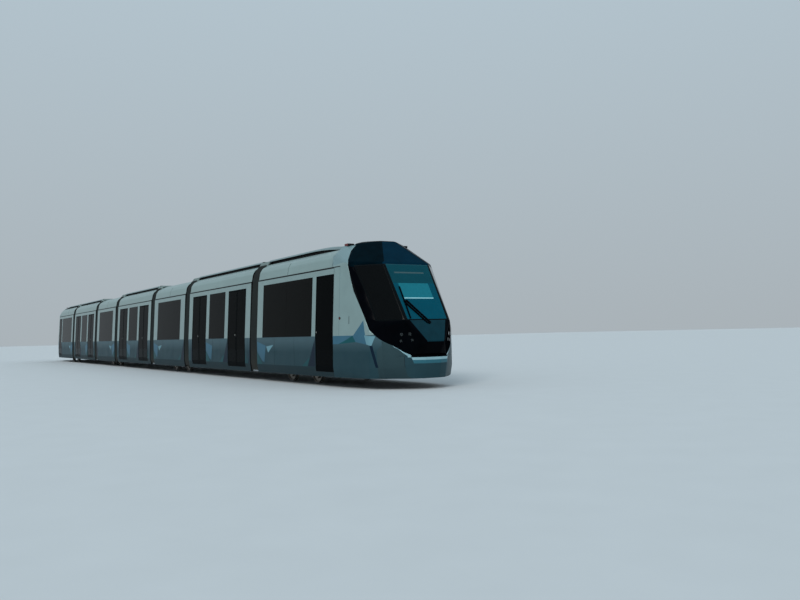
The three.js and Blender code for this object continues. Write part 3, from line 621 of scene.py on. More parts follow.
# Convex form round the points and their mirror images, without its rear and the faces that are shut
def add_hull(bm, points, shut):
    part = bmesh.new()
    for x, y, z in points:
        part.verts.new(pt(x, y, z))
        part.verts.new(pt(x, -y, z))
    bmesh.ops.convex_hull(part, input=part.verts)
    bmesh.ops.delete(part, geom=[v for v in part.verts if not v.link_faces], context="VERTS")
    bmesh.ops.dissolve_limit(part, angle_limit=math.radians(0.6), verts=part.verts, edges=part.edges)
    part.normal_update()
    drop(part, [f for f in part.faces if f.normal.x < -0.9 or shut(f.normal.z)])
    mesh = bpy.data.meshes.new("part")
    part.to_mesh(mesh)
    part.free()
    bm.from_mesh(mesh)
    bpy.data.meshes.remove(mesh)


# Behind the body's end, or over the sloping line behind the hood
def is_hidden(f):
    x, _, z = centre_of(f)
    (x0, z0), (x1, z1) = DIP
    return x < BODY_END and z < EAVES or x < HOOD_REAR and z > z0 + (x - x0) * (z1 - z0) / (x1 - x0)


def nose_mesh():
    bm = bmesh.new()
    add_hull(bm, NOSE_UPPER, lambda nz: nz < -0.9)
    add_hull(bm, NOSE_LOWER, lambda nz: abs(nz) > 0.9)
    for side in (1, -1):
        bm.faces.new([bm.verts.new(pt(x, y * side, BUMPER_TOP)) for x, y in LEDGE[::side]])
    corners = [(x, y * side) for side in (1, -1) for x, y in LEDGE[2:4][::side]]
    bm.faces.new([bm.verts.new(pt(x, y, BUMPER_TOP)) for x, y in corners[::-1]])
    bmesh.ops.remove_doubles(bm, verts=bm.verts, dist=SCALE)
    face_out(bm)
    foremost = max(bm.faces, key=lambda f: centre_of(f)[0])
    if foremost.normal.x < 0:
        bmesh.ops.reverse_faces(bm, faces=bm.faces)
    ledge = pt(0, 0, BUMPER_TOP).z
    edges = [e for e in sharp_edges(bm, 4) if any(abs(v.co.z - ledge) > SCALE for v in e.verts)]
    bmesh.ops.bevel(bm, geom=edges, offset=NOSE_ROUND * SCALE, segments=4, profile=0.5, affect="EDGES",
                    clamp_overlap=True)
    for line in NOSE_CUTS:
        for a, b in zip(line, line[1:]):
            cut(bm, a, b)
    cut_front(bm, PANE_CUTS, 1500, 2870)
    cut_front(bm, CHIN_CUTS, 950, 1520)
    bm.normal_update()
    drop(bm, [f for f in bm.faces if is_hidden(f)])
    return bm


def region_of(f):
    x, _, z = centre_of(f)
    if inside(MASK_SIDE, x, z):
        return "windscreen" if inside(SCREEN_SIDE, x, z) else "mask"
    return "apron" if x > APRON_REAR else "cab"


# Paint of the windscreen's front: dark border, blank display, blind and its bar behind the glass
def pane_paint(y, z):
    low, high = BLIND_SIDES
    if not PANE_FOOT < z < PANE_TOP or abs(y) > PANE_HALF - (PANE_HIGH - z) * PANE_LEAN:
        return "frit"
    if z > DISPLAY_FOOT:
        return "band" if BAND_FOOT < z < BAND_TOP and low < y < high else "screen_top"
    if z > BAR_FOOT and low < y < high:
        return "blind" if z > BLIND_FOOT else "bar"
    return "screen"


def mask_paint(f, x, y, z):
    if looks_ahead(f) and CHIN_FOOT < z < CHIN_HIGH + 10:
        lean = CHIN_ACROSS[1] / CHIN_ACROSS[0]
        return "chin" if abs(y) < CHIN_HALF - (CHIN_HIGH - z) * lean else "mask"
    # Upward facets carry a painted sky reflection: brighter on the front one, dimmer on the others
    if f.normal.z > 0.3 and z > 2800:
        return "head" if looks_ahead(f) else "hood"
    return "mask_low" if abs(f.normal.y) > 0.5 and x > 21150 else "mask"


def nose_paint(region, f):
    x, y, z = centre_of(f)
    if region == "windscreen":
        if abs(f.normal.y) < 0.35:
            return pane_paint(y, z)
        return "side_glass" if inside(FRIT_SIDE, x, z) and abs(f.normal.y) > 0.72 else "frit"
    if region == "mask":
        return mask_paint(f, x, y, z)
    for area, paint in AREAS:
        if inside(area, x, z):
            return paint
    if z > HOOD_FOOT and x > HOOD_REAR - 10:
        return "hood"
    if region == "apron" or z < BELT_TOP:
        return "low_front" if FRONT_REAR < x < SEAM else "belt"
    return "shaded_shoulder" if z > SHOULDER else "silver" if z > SILL else "belt"


# Each region's slot and the thickness of its wall
NOSE_REGIONS = {
    "cab": ("silver_paint", 30),
    "mask": ("mask_black", 30),
    "windscreen": ("screen_glass", 16),
    "apron": ("apron_paint", 30),
}


def split_nose(whole):
    parts = {}
    for region in NOSE_REGIONS:
        bm = whole.copy()
        bm.normal_update()
        drop(bm, [f for f in bm.faces if region_of(f) != region])
        names = []
        for f in bm.faces:
            f.material_index = index_in(names, nose_paint(region, f))
        parts[region] = (bm, names)
    return parts


NOSE = nose_mesh()
NOSE_PARTS = split_nose(NOSE)
SURFACE = BVHTree.FromBMesh(NOSE)
for name in CABS:
    for region, (bm, names) in NOSE_PARTS.items():
        slot, wall = NOSE_REGIONS[region]
        finish_piece(bm, names, f"{name}_{region}_shell", name, slot, (f"{name}_{region}",),
                     turned=name in FAR, thick=wall)


# Body shells
def paint_body(x, y, z, n):
    if abs(n.x) > 0.5:
        return "seal"
    if y < half_at(z) - 12 or z > EAVES - 3:
        return "inside" if z > FLOOR - 10 else "under"
    if z > SILL - 5:
        return "silver"
    return "belt" if z > KNEE - 5 else "lower"


# In the cab, the driver's seat stands behind the desk
CAB_FLOOR = 19700
DESK = 20400


# Paint of a floor whose highest tread is at the height given
def floor_paint(tread):
    def paint(x, y, z, n):
        if n.z < -0.5 or z < FLOOR - 30:
            return "under"
        if x > CAB_FLOOR:
            return "shell" if x > DESK else "seat"
        return "floor" if z < tread + 2 else "seat"

    return paint


# Sections: rear and front end, and whether they hang between others; far twins take the same
SECTIONS = {
    "m1": (END_AXIS + HALF_BELLOWS, BODY_END, False),
    "m2": (MID_AXIS + HALF_BELLOWS, END_AXIS - HALF_BELLOWS, True),
    "m3": (IN_AXIS + HALF_BELLOWS, MID_AXIS - HALF_BELLOWS, False),
    "m4": (-IN_AXIS + HALF_BELLOWS, IN_AXIS - HALF_BELLOWS, True),
}
SECTIONS |= {name: SECTIONS[twin] for name, twin in zip(FAR, ("m3", "m2", "m1"))}
for name, (x0, x1, hung) in SECTIONS.items():
    dress(f"{name}_body", f"{name}_shell", "silver_paint", paint_body, bevel=5)
    paint_floor = floor_paint(FLOOR if hung else PODIUM_TOP)
    dress(f"{name}_floor", f"{name}_deck", "floor_grey", paint_floor, bevel=7)


# Roofs: rounded fairing, then a slot under a cover, its inner faces painted near black as shade, or a plain
# cover over a middle bogie
FAIRING = [(1227, EAVES + 1), (1186, 3070), (1107, 3190), (963, 3280)]
COVER_FOOT = 3330
COVER_FLAT = 600
CLOSED = FAIRING + [(881, COVER_FOOT), (COVER_FLAT, PLAIN_TOP)]
SLOT_BACK = 820
LIP = 905
RIM_LEAN = 1.64
WELL_HALF = 560
WELL_DEEP = 70
WELL_REACH = 420
# Heights of the fairing's edge, the cover's lip and the cover's top
SLOT = (3306, 3390, COVER_TOP)
# The same heights where the slot runs out towards the cab, after their places along the roof
CAB_FROM = 17600
SLOT_END = (
    (CAB_FROM, 3302, 3392, COVER_TOP),
    (18080, 3296, 3377, 3446),
    (18480, 3291, 3354, 3434),
    (18800, 3288, 3325, 3410),
    (19070, 3288, 3300, 3386),
    (19199, 3296, 3306, 3378),
)


# Half outline of a slotted roof, from the eaves to the cover's flat
def slotted(edge, lip, top):
    corner, height = FAIRING[-1]
    rim = corner - (edge - height) * RIM_LEAN
    under = [(rim, edge), (SLOT_BACK, edge), (SLOT_BACK, max(edge + 6, lip - 13))]
    cover = [(LIP, lip), (LIP - 4, lip + 12), (LIP - 25, top - 22), (LIP - 55, top - 4), (COVER_FLAT, top)]
    return FAIRING + under + cover


# Outline with each inner corner replaced by a short arc
def soften(outline, reach, steps=3):
    got = [outline[0]]
    for a, b, c in zip(outline, outline[1:], outline[2:]):
        before, after = math.dist(a, b), math.dist(b, c)
        r = min(reach, before * 0.4, after * 0.4)
        p = [b[k] + (a[k] - b[k]) * r / before for k in (0, 1)]
        q = [b[k] + (c[k] - b[k]) * r / after for k in (0, 1)]
        for t in (i / steps for i in range(steps + 1)):
            got.append(tuple((1 - t) ** 2 * p[k] + 2 * t * (1 - t) * b[k] + t * t * q[k] for k in (0, 1)))
    return got + [outline[-1]]


def paint_closed(x, y, z, n):
    if abs(n.x) > 0.5 or z < EAVES + 5:
        return "seal"
    return "fairing" if z < COVER_FOOT - 2 else "cover"


def paint_slotted(x, y, z, n):
    if abs(n.x) > 0.5 or z < EAVES + 5:
        return "seal"
    # The slot's underside, back wall and floor are painted near black, a painted shade in the recess
    if n.z < -0.2 or n.y > 0.5 and y < SLOT_BACK + 8 or n.z > 0.97 and z < 3320:
        return "slot"
    return "fairing" if y > LIP + 3 else "cover"


def wells_of(x0, x1):
    middle = (x0 + x1) / 2
    away = min(980, (x1 - x0) / 2 - 500)
    return [(x - WELL_REACH, x + WELL_REACH) for x in (middle - away, middle + away)]


def deck_faces(bm, top):
    return [f for f in bm.faces if f.normal.z > 0.99 and centre_of(f)[2] > top - 5]


# Sink the wells of the fans and louvres into the cover's flat
def sink_wells(bm, wells, top):
    bm.normal_update()
    lines = [(pt(x, 0, 0), Vector((1, 0, 0))) for well in wells for x in well]
    lines += [(pt(0, y, 0), Vector((0, 1, 0))) for y in (-WELL_HALF, WELL_HALF)]
    for at, normal in lines:
        bisect(bm, deck_faces(bm, top), at, normal)
    sunk = []
    for f in deck_faces(bm, top):
        x, y, _ = centre_of(f)
        if abs(y) < WELL_HALF and any(a < x < b for a, b in wells):
            sunk.append(f)
    got = bmesh.ops.extrude_face_region(bm, geom=sunk)
    drop(bm, sunk)
    for v in {g for g in got["geom"] if isinstance(g, bmesh.types.BMVert)}:
        v.co.z -= WELL_DEEP * SCALE


# Solid along the tram through cross sections: rows of (place, half outline)
def roof_run(shape, rows):
    rings = []
    for x, section in rows:
        half = soften(section, 34)
        rings.append([(x, y, z) for y, z in half + [(-y, z) for y, z in reversed(half)]])
    n = len(rings[0])
    last = (len(rings) - 1) * n
    faces = [tuple(range(n)), tuple(range(last + n - 1, last - 1, -1))]
    for k in range(0, last, n):
        faces += [tuple(k + i for i in face) for face in sides_of(n)]
    shape.solid([v for ring in rings for v in ring], faces, "fairing")


# Fan: duct (radius, height), blade seen from above, and the radii of the guard's rings
FAN_AT = 290
DUCT = [(250, 0), (250, 60), (225, 60), (215, 10)]
BLADES = 7
BLADE = [(60, -22), (205, -48), (205, 40), (60, 26)]
GUARD = (70, 120, 170)


def fans(shape, well, low):
    x = (well[0] + well[1]) / 2
    for y in (-FAN_AT, FAN_AT):
        shape.ring((x, y, low), DUCT, 32, "grille", flat=True)
        shape.rod((x, y, low + 2), (x, y, low + 40), 50, 16, "frame")
        for t in angles(BLADES):
            c, s = math.cos(t), math.sin(t)
            base = [(x + c * u - s * v, y + s * u + c * v, low + 14 + v * 0.25) for u, v in BLADE]
            shape.block(base, [(a, b, h + 5) for a, b, h in base], "frame")
        for r in GUARD:
            shape.ring((x, y, low + 52), [(r, 0), (r, 6), (r + 7, 6), (r + 7, 0)], 32, "grille", flat=True)


LOUVRES = 12
LOUVRE_HALF = 530


def louvres(shape, well, low):
    step = (well[1] - well[0] - 60) / LOUVRES
    for i in range(LOUVRES):
        a = well[0] + 30 + i * step
        b = a + 14
        plan = [(a, -LOUVRE_HALF), (b, -LOUVRE_HALF), (b, LOUVRE_HALF), (a, LOUVRE_HALF)]
        foot = [(x, y, low + 4) for x, y in plan]
        shape.block(foot, [(x + step * 0.8, y, low + 58) for x, y, _ in foot], "grille")


MARKER_SIDES = (690, 845)

for name, (x0, x1, hung) in SECTIONS.items():
    cab = name in CABS
    open_side = cab or hung
    top = COVER_TOP if open_side else PLAIN_TOP
    rows = [(x, slotted(*SLOT) if open_side else CLOSED) for x in (x0, x1)]
    if cab:
        rows[1:] = [(x, slotted(*heights)) for x, *heights in SLOT_END]
    wells = wells_of(x0, CAB_FROM if cab else x1)
    roof = Shape()
    roof_run(roof, rows)
    face_out(roof.bm)
    sink_wells(roof.bm, wells, top)
    face_out(roof.bm)
    roof.names = painted(roof.bm, paint_slotted if open_side else paint_closed)
    make(roof, f"{name}_fairing", name, "roof_paint", replaces=(f"{name}_roof",), bevel=5, angle=50)
    kit = Shape()
    fans(kit, wells[0], top - WELL_DEEP)
    louvres(kit, wells[1], top - WELL_DEEP)
    for x in (x0 + 60, (x0 + x1) / 2) + (() if cab else (x1 - 60,)):
        kit.box(x - 3, x + 3, 2 - COVER_FLAT, COVER_FLAT - 2, top - 4, top + 1.5, "slot")
    if cab:
        for side in (1, -1):
            y0, y1 = sorted(side * y for y in MARKER_SIDES)
            kit.box(19142, 19310, y0, y1, 3374, 3430, "red")
            kit.box(19312, 19340, y0, y1, 3372, 3424, "seal")
    make(kit, f"{name}_roof_kit", name, "roof_paint")


# Side glazing: panes with dark borders and seals, and the blind rail under the ceiling
CAB_WINDOW = (14985, 18180)
LONG_WINDOW = 3100


def windows_of(name, x0, x1, hung):
    if name in CABS:
        return CAB_WINDOW
    middle = (x0 + x1) / 2
    half = 760 if hung else 1520
    return middle - half, middle + half


for name, (x0, x1, hung) in SECTIONS.items():
    panes = Shape()
    a, b = windows_of(name, x0, x1, hung)
    low, high = SILL + 3, GLASS_TOP - 3
    middle = (a + b) / 2
    stops = [a + 3, b - 3] if b - a < LONG_WINDOW else [a + 3, middle - 3, middle + 3, b - 3]
    for p, q in zip(stops[::2], stops[1::2]):
        slab(panes, p, q, low, high, 4, 16, "glass")
        border(panes, p, q, low, high, 52, 67, 45, 17, 24, "frit")
    border(panes, a, b, SILL, GLASS_TOP, 3, 3, 3, 6, 40, "seal", through=True)
    if len(stops) == 4:
        slab(panes, stops[1], stops[2], low, high, 8, 24, "seal")
    panes.mirror()
    panes.box(middle - 60, middle + 60, -1236, 1236, 2597, 2613, "shell")
    make(panes, f"{name}_panes", name, "window_glass", replaces=(f"{name}_glazing",))


# Doors: leaves with a rounded frame, glass and seals, and the drives under the ceiling
LEAF_RIM = 58
LEAF_FOOT = 150
BUTTON_AT = 1300
DRIVE_LOW, DRIVE_TOP = 2556, 2580


def leaf(shape, x0, x1, handed):
    top, foot = GLASS_TOP - 6, DOOR_FOOT + 6
    border(shape, x0, x1, foot, top, LEAF_FOOT, LEAF_RIM, LEAF_RIM, 8, 46, "door")
    lap = 12
    slab(shape, x0 + LEAF_RIM - lap, x1 - LEAF_RIM + lap, foot + LEAF_FOOT - lap, top - LEAF_RIM + lap,
         6, 20, "door_glass")
    edge = x1 if handed > 0 else x0
    slab(shape, min(edge, edge - handed * 10), max(edge, edge - handed * 10), foot, top, 5, 40, "seal")


def button(shape, x, radius):
    y = half_at(BUTTON_AT)
    shape.rod((x, y - 8, BUTTON_AT), (x, y + 1, BUTTON_AT), radius, 20, "pole")


def doors_of(name, x0, x1, hung):
    if name in CABS:
        return [(CAB_DOOR, BODY_END)]
    middle = (x0 + x1) / 2
    return [(middle - 2550, middle - 1050), (middle + 1050, middle + 2550)] if hung else []


for name, (x0, x1, hung) in SECTIONS.items():
    doors = doors_of(name, x0, x1, hung)
    if not doors:
        continue
    leaves = Shape()
    for a, b in doors:
        middle = (a + b) / 2
        if hung:
            leaf(leaves, a + 8, middle - 6, 1)
            leaf(leaves, middle + 6, b - 8, -1)
            slab(leaves, middle - 6, middle + 6, DOOR_FOOT + 6, GLASS_TOP - 6, 14, 40, "seal")
            button(leaves, middle - 90, 24)
        else:
            leaf(leaves, a + 8, b - 8, 1)
            button(leaves, a + 60, 22)
        border(leaves, a, b, DOOR_FOOT, GLASS_TOP, 6, 6, 8, 8, 50, "seal", through=True)
        leaves.box(a + 40, b - 40, 1040, 1215, 2462, DRIVE_TOP, "shell")
        leaves.rod((a + 60, 1170, 2440), (b - 60, 1170, 2440), 14, 12, "pole")
    leaves.mirror()
    for a, b in doors:
        leaves.box((a + b) / 2 - 50, (a + b) / 2 + 50, -1050, 1050, DRIVE_LOW, DRIVE_TOP, "shell")
    leaves.box(doors[0][0] + 100, doors[-1][1] - 100, -60, 60, DRIVE_LOW, DRIVE_TOP, "shell")
    make(leaves, f"{name}_leaves", name, "door_glass", replaces=(f"{name}_doors",), bevel=3, segments=1)


# Interior: poles, rails and ceiling lights
POLE_AT = 560
RAIL_AT = 1980

for name, (x0, x1, hung) in SECTIONS.items():
    inner = Shape()
    places = (x0 + 260, (x0 + x1) / 2 - 60, x1 - 300)
    for x in places:
        inner.rod((x, POLE_AT, FLOOR), (x, POLE_AT, CEILING - 8), 18, 12, "pole")
    inner.rod((places[0], POLE_AT, RAIL_AT), (places[-1], POLE_AT, RAIL_AT), 16, 12, "pole")
    for x in places:
        inner.rod((x, POLE_AT, RAIL_AT), (x, POLE_AT, RAIL_AT + 1), 26, 12, "pole")
    inner.mirror()
    for y in (-420, 420):
        inner.box(x0 + 120, x1 - 120, y - 60, y + 60, CEILING - 22, CEILING - 10, "lamp")
    make(inner, f"{name}_handrails", name, "frame_grey")


# Bellows: pleated outside, smooth inside, centred on the pivot
OUTER = [(1262, 262), (1312, 470), (1312, 1240), (1262, 2100), (1204, 2900), (1160, 3060), (1105, 3165),
         (1040, 3260), (985, 3318), (935, 3400), (890, 3416), (0, 3420)]
INNER = [(1180, 262), (1225, 480), (1225, 1240), (1178, 2100), (1146, 2560), (1130, 2615), (1080, 2632),
         (1000, 2636), (900, 2638), (700, 2638), (400, 2638), (0, 2638)]
PLEATS = 7
PLEAT_DEEP = 0.03
# Height that the pleats draw in towards, and the foot of the pale top, a painted highlight on the dark
# rubber
MIDDLE = 1400
HIGHLIGHT_FROM = 3310
PIVOTS = (END_AXIS, MID_AXIS, IN_AXIS, -IN_AXIS, -MID_AXIS, -END_AXIS)


def bellows(axis):
    shape = Shape()
    outer, inner = (half + [(-y, z) for y, z in reversed(half[:-1])] for half in (OUTER, INNER))
    rows = []
    reach = HALF_BELLOWS - 1
    steps = PLEATS * 6
    for i in range(steps + 1):
        t = i / steps
        wave = 0.5 - 0.5 * math.cos(2 * math.pi * PLEATS * t)
        k = 1 - PLEAT_DEEP * (1 - wave ** 1.6)
        x = axis - reach + 2 * reach * t
        rows.append([(x, y * k, MIDDLE + (z - MIDDLE) * (1 - (1 - k) * 0.8)) for y, z in outer])
    outer_rows = len(rows)
    for x in (axis + reach, axis - reach):
        rows.append([(x, y, z) for y, z in inner])
    n = len(outer)
    count = len(rows)
    verts = [shape.bm.verts.new(pt(*v)) for row in rows for v in row]
    dark, light, top_highlight = (index_in(shape.names, m) for m in ("bellows", "bellows_in", "bellows_cap"))
    for k in range(count):
        here, there = k * n, (k + 1) % count * n
        for i in range(n - 1):
            corners = (here + i, here + i + 1, there + i + 1, there + i)
            f = shape.bm.faces.new([verts[c] for c in corners])
            low = min(outer[i][1], outer[i + 1][1])
            # The outer pleats' top faces are painted pale, a painted highlight
            outside = top_highlight if low > HIGHLIGHT_FROM and k < outer_rows - 1 else dark
            f.material_index = outside if k < outer_rows or low < 500 else light
    return shape


# Each lies between the section nearer the middle and the one further out
for number, axis in enumerate(PIVOTS, 1):
    node = f"bellows_{number}{number + 1}"
    skin = make(bellows(axis), f"{node}_pleats", None, "bellows_rubber", replaces=(node,))
    outwards = 1 if axis > 0 else -1
    inner, outer = (f"m{number + 1}", f"m{number}")[::outwards]
    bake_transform(skin)


# Bogies and wheelsets
def wheel_rows(side):
    tread, back, face = WHEEL_R, WHEEL_BACK, WHEEL_FACE
    rows = [
        (tread, back + 32), (tread - 4, face), (tread - 22, face), (tread - 40, face - 26), (188, face - 34),
        (180, face + 14), (96, face + 15), (88, face + 6), (AXLE_R, face + 6), (AXLE_R, back + 4),
        (110, back + 4), (150, back + 40), (tread - 42, back + 30), (tread - 20, back + 3),
        (tread + 20, back + 2), (tread + 26, back + 9), (tread + 24, back + 18), (tread + 4, back + 27),
    ]
    return [(r, y * side) for r, y in (rows if side > 0 else reversed(rows))]


BOLTS = 8
BOLT_AT = 138


def wheel(shape, x, side):
    hub = (x, 0, WHEEL_R)
    back, face = side * (WHEEL_BACK + 34), side * (WHEEL_FACE - 3)
    tread = [(WHEEL_R + 0.5, back), (WHEEL_R - 3, face), (WHEEL_R - 8, face), (WHEEL_R - 8, back)]
    shape.ring(hub, wheel_rows(side), 48, "steel")
    shape.ring(hub, tread, 48, "tread")
    stub = (x, side * (WHEEL_FACE - 4), WHEEL_R)
    shape.rod(stub, (x, side * AXLE_END, WHEEL_R), AXLE_R - 0.5, 24, "steel")
    for i in range(BOLTS):
        t = 2 * math.pi * (i + 0.5) / BOLTS
        u, z = x + BOLT_AT * math.cos(t), WHEEL_R + BOLT_AT * math.sin(t)
        shape.rod((u, side * (WHEEL_FACE + 13), z), (u, side * (WHEEL_FACE + 19), z), 12, 8, "rust")


MIDDLE_BOGIE = (IN_AXIS + MID_AXIS) / 2
BOGIES = {"m1": CAB_BOGIE, "m3": MIDDLE_BOGIE, "m5": MIDDLE_BOGIE, "m7": CAB_BOGIE}
for name, at in BOGIES.items():
    for letter, x in (("a", at + HALF_WHEELBASE), ("b", at - HALF_WHEELBASE)):
        wheels = Shape()
        for side in (1, -1):
            wheel(wheels, x, side)
        wheels.rod((x, -WHEEL_BACK, WHEEL_R), (x, WHEEL_BACK, WHEEL_R), AXLE_R, 24, "rust")
        make(wheels, f"{name}_wheels_{letter}", f"{name}_axle_{letter}", "wheel_steel",
             replaces=(f"{name}_wheelset_{letter}",))
    dress(f"{name}_bogie", f"{name}_truck", "frame_grey", lambda x, y, z, n: "frame", bevel=8, angle=40)


# Nose fittings: headlamps (place, radius), the red button beside the cab door and a small grip behind it
HEADLAMPS = ((21349, 654, 1199, 46), (21484, 518, 1205, 46), (21328, 658, 1056, 40), (21512, 474, 1072, 40))
LAMP_AHEAD = (0.709, 0.701, -0.08)
BUTTON = (19611, 1270, 1613)
BUTTON_OUT = (0.13, 0.99, 0.05)
GRIP_LOW = [(19978, 1216, 1470), (19990, 1216, 1470), (19990, 1229, 1470), (19978, 1230, 1470)]
GRIP_TOP = [(19974, 1205, 1655), (19986, 1205, 1655), (19986, 1219, 1655), (19974, 1220, 1655)]


def fit_nose(name):
    kit = Shape()
    n = Vector(LAMP_AHEAD).normalized()
    for *place, r in HEADLAMPS:
        at = Vector(place)
        kit.rod(at - n * 20, at + n * 6, r, 28, "frit", r - 2)
        kit.rod(at + n * 6.2, at + n * 7, r - 12, 28, "lens", r - 14)
    at = Vector(BUTTON)
    n = Vector(BUTTON_OUT).normalized()
    kit.rod(at - n * 8, at + n * 5, 34, 24, "seal")
    kit.rod(at - n * 4, at + n * 7, 24, 24, "red", 20)
    kit.block(GRIP_LOW, GRIP_TOP, "seal")
    kit.mirror()
    # Lid over the nose where the roof cover slopes down, and the dark step up to the hood behind it
    edge = SURFACE.ray_cast(pt(HOOD_REAR - 4, 2000, 3368), Vector((0, -1, 0)))[0].y / SCALE - 2
    lid = [(19199, -842, 3378), (19398, -edge, 3370), (19398, edge, 3370), (19199, 842, 3378)]
    kit.block([(x, y, z - 12) for x, y, z in lid], lid, "cover")
    step = []
    for i in range(-12, 13):
        y = i * edge / 12
        hit = SURFACE.ray_cast(pt(HOOD_REAR + 2, y, 4000), Vector((0, 0, -1)))[0]
        step.append((y, hit.z / SCALE - FLANGE - 3))
    kit.prism([(edge, 3360)] + step[::-1] + [(-edge, 3360)], HOOD_REAR - 1, HOOD_REAR + 4, "hood")
    make(kit, f"{name}_lamps", name, "mask_black")


# Place on the windscreen's front, or lifted off it; two corners of the nose give its slope
GLASS_FOOT = (21436, 1500)
GLASS_HEAD = (20575, 2865)


def on_glass(y, z, lift=0.0):
    slope = (GLASS_FOOT[0] - GLASS_HEAD[0]) / (GLASS_HEAD[1] - GLASS_FOOT[1])
    n = Vector((1, 0, slope)).normalized()
    return Vector((GLASS_HEAD[0] + (GLASS_HEAD[1] - z) * slope, y, z)) + n * lift


# Wiper with two arms, and a second blade standing up beside them
def fit_wipers(name):
    kit = Shape()
    pivot = on_glass(0, 1440, 16)
    kit.rod(on_glass(0, 1440, -5), on_glass(0, 1440, 30), 34, 20, "mask", 28)
    for d in (-40, 40):
        kit.rod(pivot + Vector((0, d, 0)), on_glass(-416 + d * 0.6, 1925 + d * 0.6, 24), 22, 8, "mask")
    kit.rod(on_glass(-438, 2275, 16), on_glass(-449, 1545, 16), 18, 8, "mask")
    kit.rod(on_glass(-462, 1925, 12), on_glass(-380, 1935, 30), 26, 8, "mask")
    make(kit, f"{name}_wipers", name, "mask_black")


# Bulkhead behind the driver, painted nearly black as painted shade of the dim cab, with a dark door
def fit_cab(name):
    kit = Shape()
    wall, door, lintel = 1130, 420, 2350
    for y0, y1, z0 in ((-wall, -door, FLOOR + 2), (door, wall, FLOOR + 2), (-door, door, lintel)):
        kit.box(BULKHEAD, BULKHEAD + 40, y0, y1, z0, CEILING + 100, "dark_in")
    kit.box(BULKHEAD + 4, BULKHEAD + 34, 4 - door, door - 4, FLOOR + 4, lintel - 4, "slot")
    make(kit, f"{name}_cab_fittings", name, "silver_paint")


for name in CABS:
    fit_nose(name)
    fit_wipers(name)
    fit_cab(name)


# Panel lines and livery on the flanks: thin plates standing just proud
def plate(shape, corners, m):
    low, high = ([(x, half_at(z) + lift, z) for x, z in corners] for lift in (0.3, 1.2))
    shape.solid(low + high, drum(len(corners)), m)


def panel_line(shape, x):
    plate(shape, [(x - 3, KNEE + 2), (x + 3, KNEE + 2), (x + 3, SILL - 4), (x - 3, SILL - 4)], "seal")


# Joint of the fairing beside the roof's middle
FAIRING_JOINT = [(1227, EAVES + 12), (1186, 3070), (1120, 3178)]


def fairing_seam(shape, x):
    rows = []
    for y, z in FAIRING_JOINT:
        rows.append([(x - 5, y - 6, z), (x + 5, y - 6, z), (x + 5, y + 1, z), (x - 5, y + 1, z)])
    for low, high in zip(rows, rows[1:]):
        shape.block(low, high, "seal")


# Livery facets at a flank's rear end: paint, then corners (shift forwards, height over the knee)
FACETS = (
    ("sky", [(23, 346), (23, 640), (648, 520), (533, 60), (381, 100)]),
    ("pale", [(686, 500), (1181, 540), (819, 330)]),
)
SHORT_FLANK = 1200


# One stretch of flank between doors or ends, from a to b
def flank(shape, a, b, hung):
    long = b - a > SHORT_FLANK
    for x in (a + (b - a) * 0.33, a + (b - a) * 0.67) if long else ((a + b) / 2,):
        panel_line(shape, x)
    w = min(420, (b - a) * 0.3)
    foot = KNEE + 4
    end = b - 20
    plate(shape, [(end, foot), (end, SILL - 60), (end - w, foot)], "navy")
    plate(shape, [(end - 20 - w, foot), (end - w * 0.71, KNEE + 236), (end - 40 - w * 1.7, foot)], "teal")
    plate(shape, [(a + 20, foot), (a + 20 + w * 0.9, foot), (a + 20, KNEE + 340)], "teal")
    facets = FACETS[:1] if hung else FACETS
    for paint, corners in facets if long else ():
        plate(shape, [(a + shift, KNEE + up) for shift, up in corners], paint)


CAB_FAIRING_JOINT = 16590
NARROW = 200

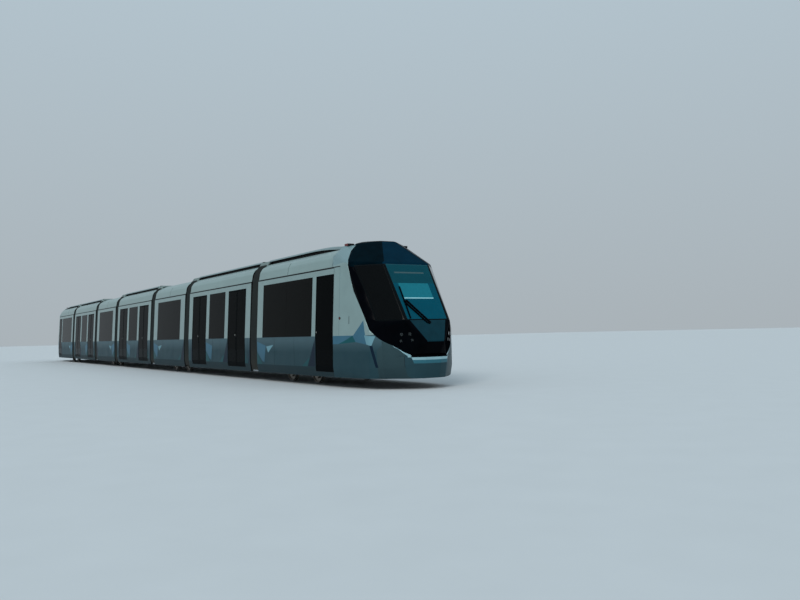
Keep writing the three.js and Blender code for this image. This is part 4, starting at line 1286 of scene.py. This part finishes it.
for name, (x0, x1, hung) in SECTIONS.items():
    trim = Shape()
    low, high = EAVES - 38, EAVES - 2
    plate(trim, [(x0 + 4, low), (x1 - 4, low), (x1 - 4, high), (x0 + 4, high)], "slot")
    if not hung:
        fairing_seam(trim, CAB_FAIRING_JOINT if name in CABS else (x0 + x1) / 2)
    stops = [x0] + [x for door in doors_of(name, x0, x1, hung) for x in door] + [x1]
    for a, b in zip(stops[::2], stops[1::2]):
        if b - a >= NARROW:
            flank(trim, a, b, hung)
    trim.mirror()
    make(trim, f"{name}_livery", name, "silver_paint")


# Floor and light
GROUND_HALF = 150
HORIZON = (0.5, 0.56, 0.6, 1)
ZENITH = (0.62, 0.8, 0.92, 1)


def sun(name, energy, spread, ahead):
    data = bpy.data.lights.new(name, "SUN")
    data.energy = energy
    data.angle = math.radians(spread)
    lamp = add_object(name, data)
    lamp.rotation_euler = Vector(ahead).to_track_quat("-Z", "Y").to_euler()
    return lamp


def stage():
    bpy.context.scene.view_settings.view_transform = "Standard"
    mesh = bpy.data.meshes.new("ground")
    corners = [(x * GROUND_HALF, y * GROUND_HALF, 0) for x, y in ((-1, -1), (1, -1), (1, 1), (-1, 1))]
    mesh.from_pydata(corners, [], [(0, 1, 2, 3)])
    mesh.materials.append(material("ground", (196, 200, 202), 0.8, 3, 0.015, 0.02, shine=0.2))
    add_object("ground", mesh)
    world = bpy.data.worlds.new("world")
    world.use_nodes = True
    tree = world.node_tree
    nodes, links = tree.nodes, tree.links
    coord = nodes.new("ShaderNodeTexCoord")
    split = nodes.new("ShaderNodeSeparateXYZ")
    links.new(coord.outputs["Generated"], split.inputs["Vector"])
    mix = nodes.new("ShaderNodeMix")
    mix.data_type = "RGBA"
    mix.inputs["A"].default_value = HORIZON
    mix.inputs["B"].default_value = ZENITH
    links.new(remap(tree, split.outputs["Z"], (0.0, 0.8)), mix.inputs["Factor"])
    sky = nodes["Background"]
    links.new(mix.outputs["Result"], sky.inputs["Color"])
    sky.inputs["Strength"].default_value = 0.8
    bpy.context.scene.world = world
    key = sun("key", 1.4, 25, (-0.5, 0.62, -0.62))
    key.data.color = (1.0, 0.97, 0.93)
    front = sun("front", 0.5, 40, (-0.84, -0.26, -0.42))
    # Its disk would show in the side glass
    front.visible_glossy = False


stage()
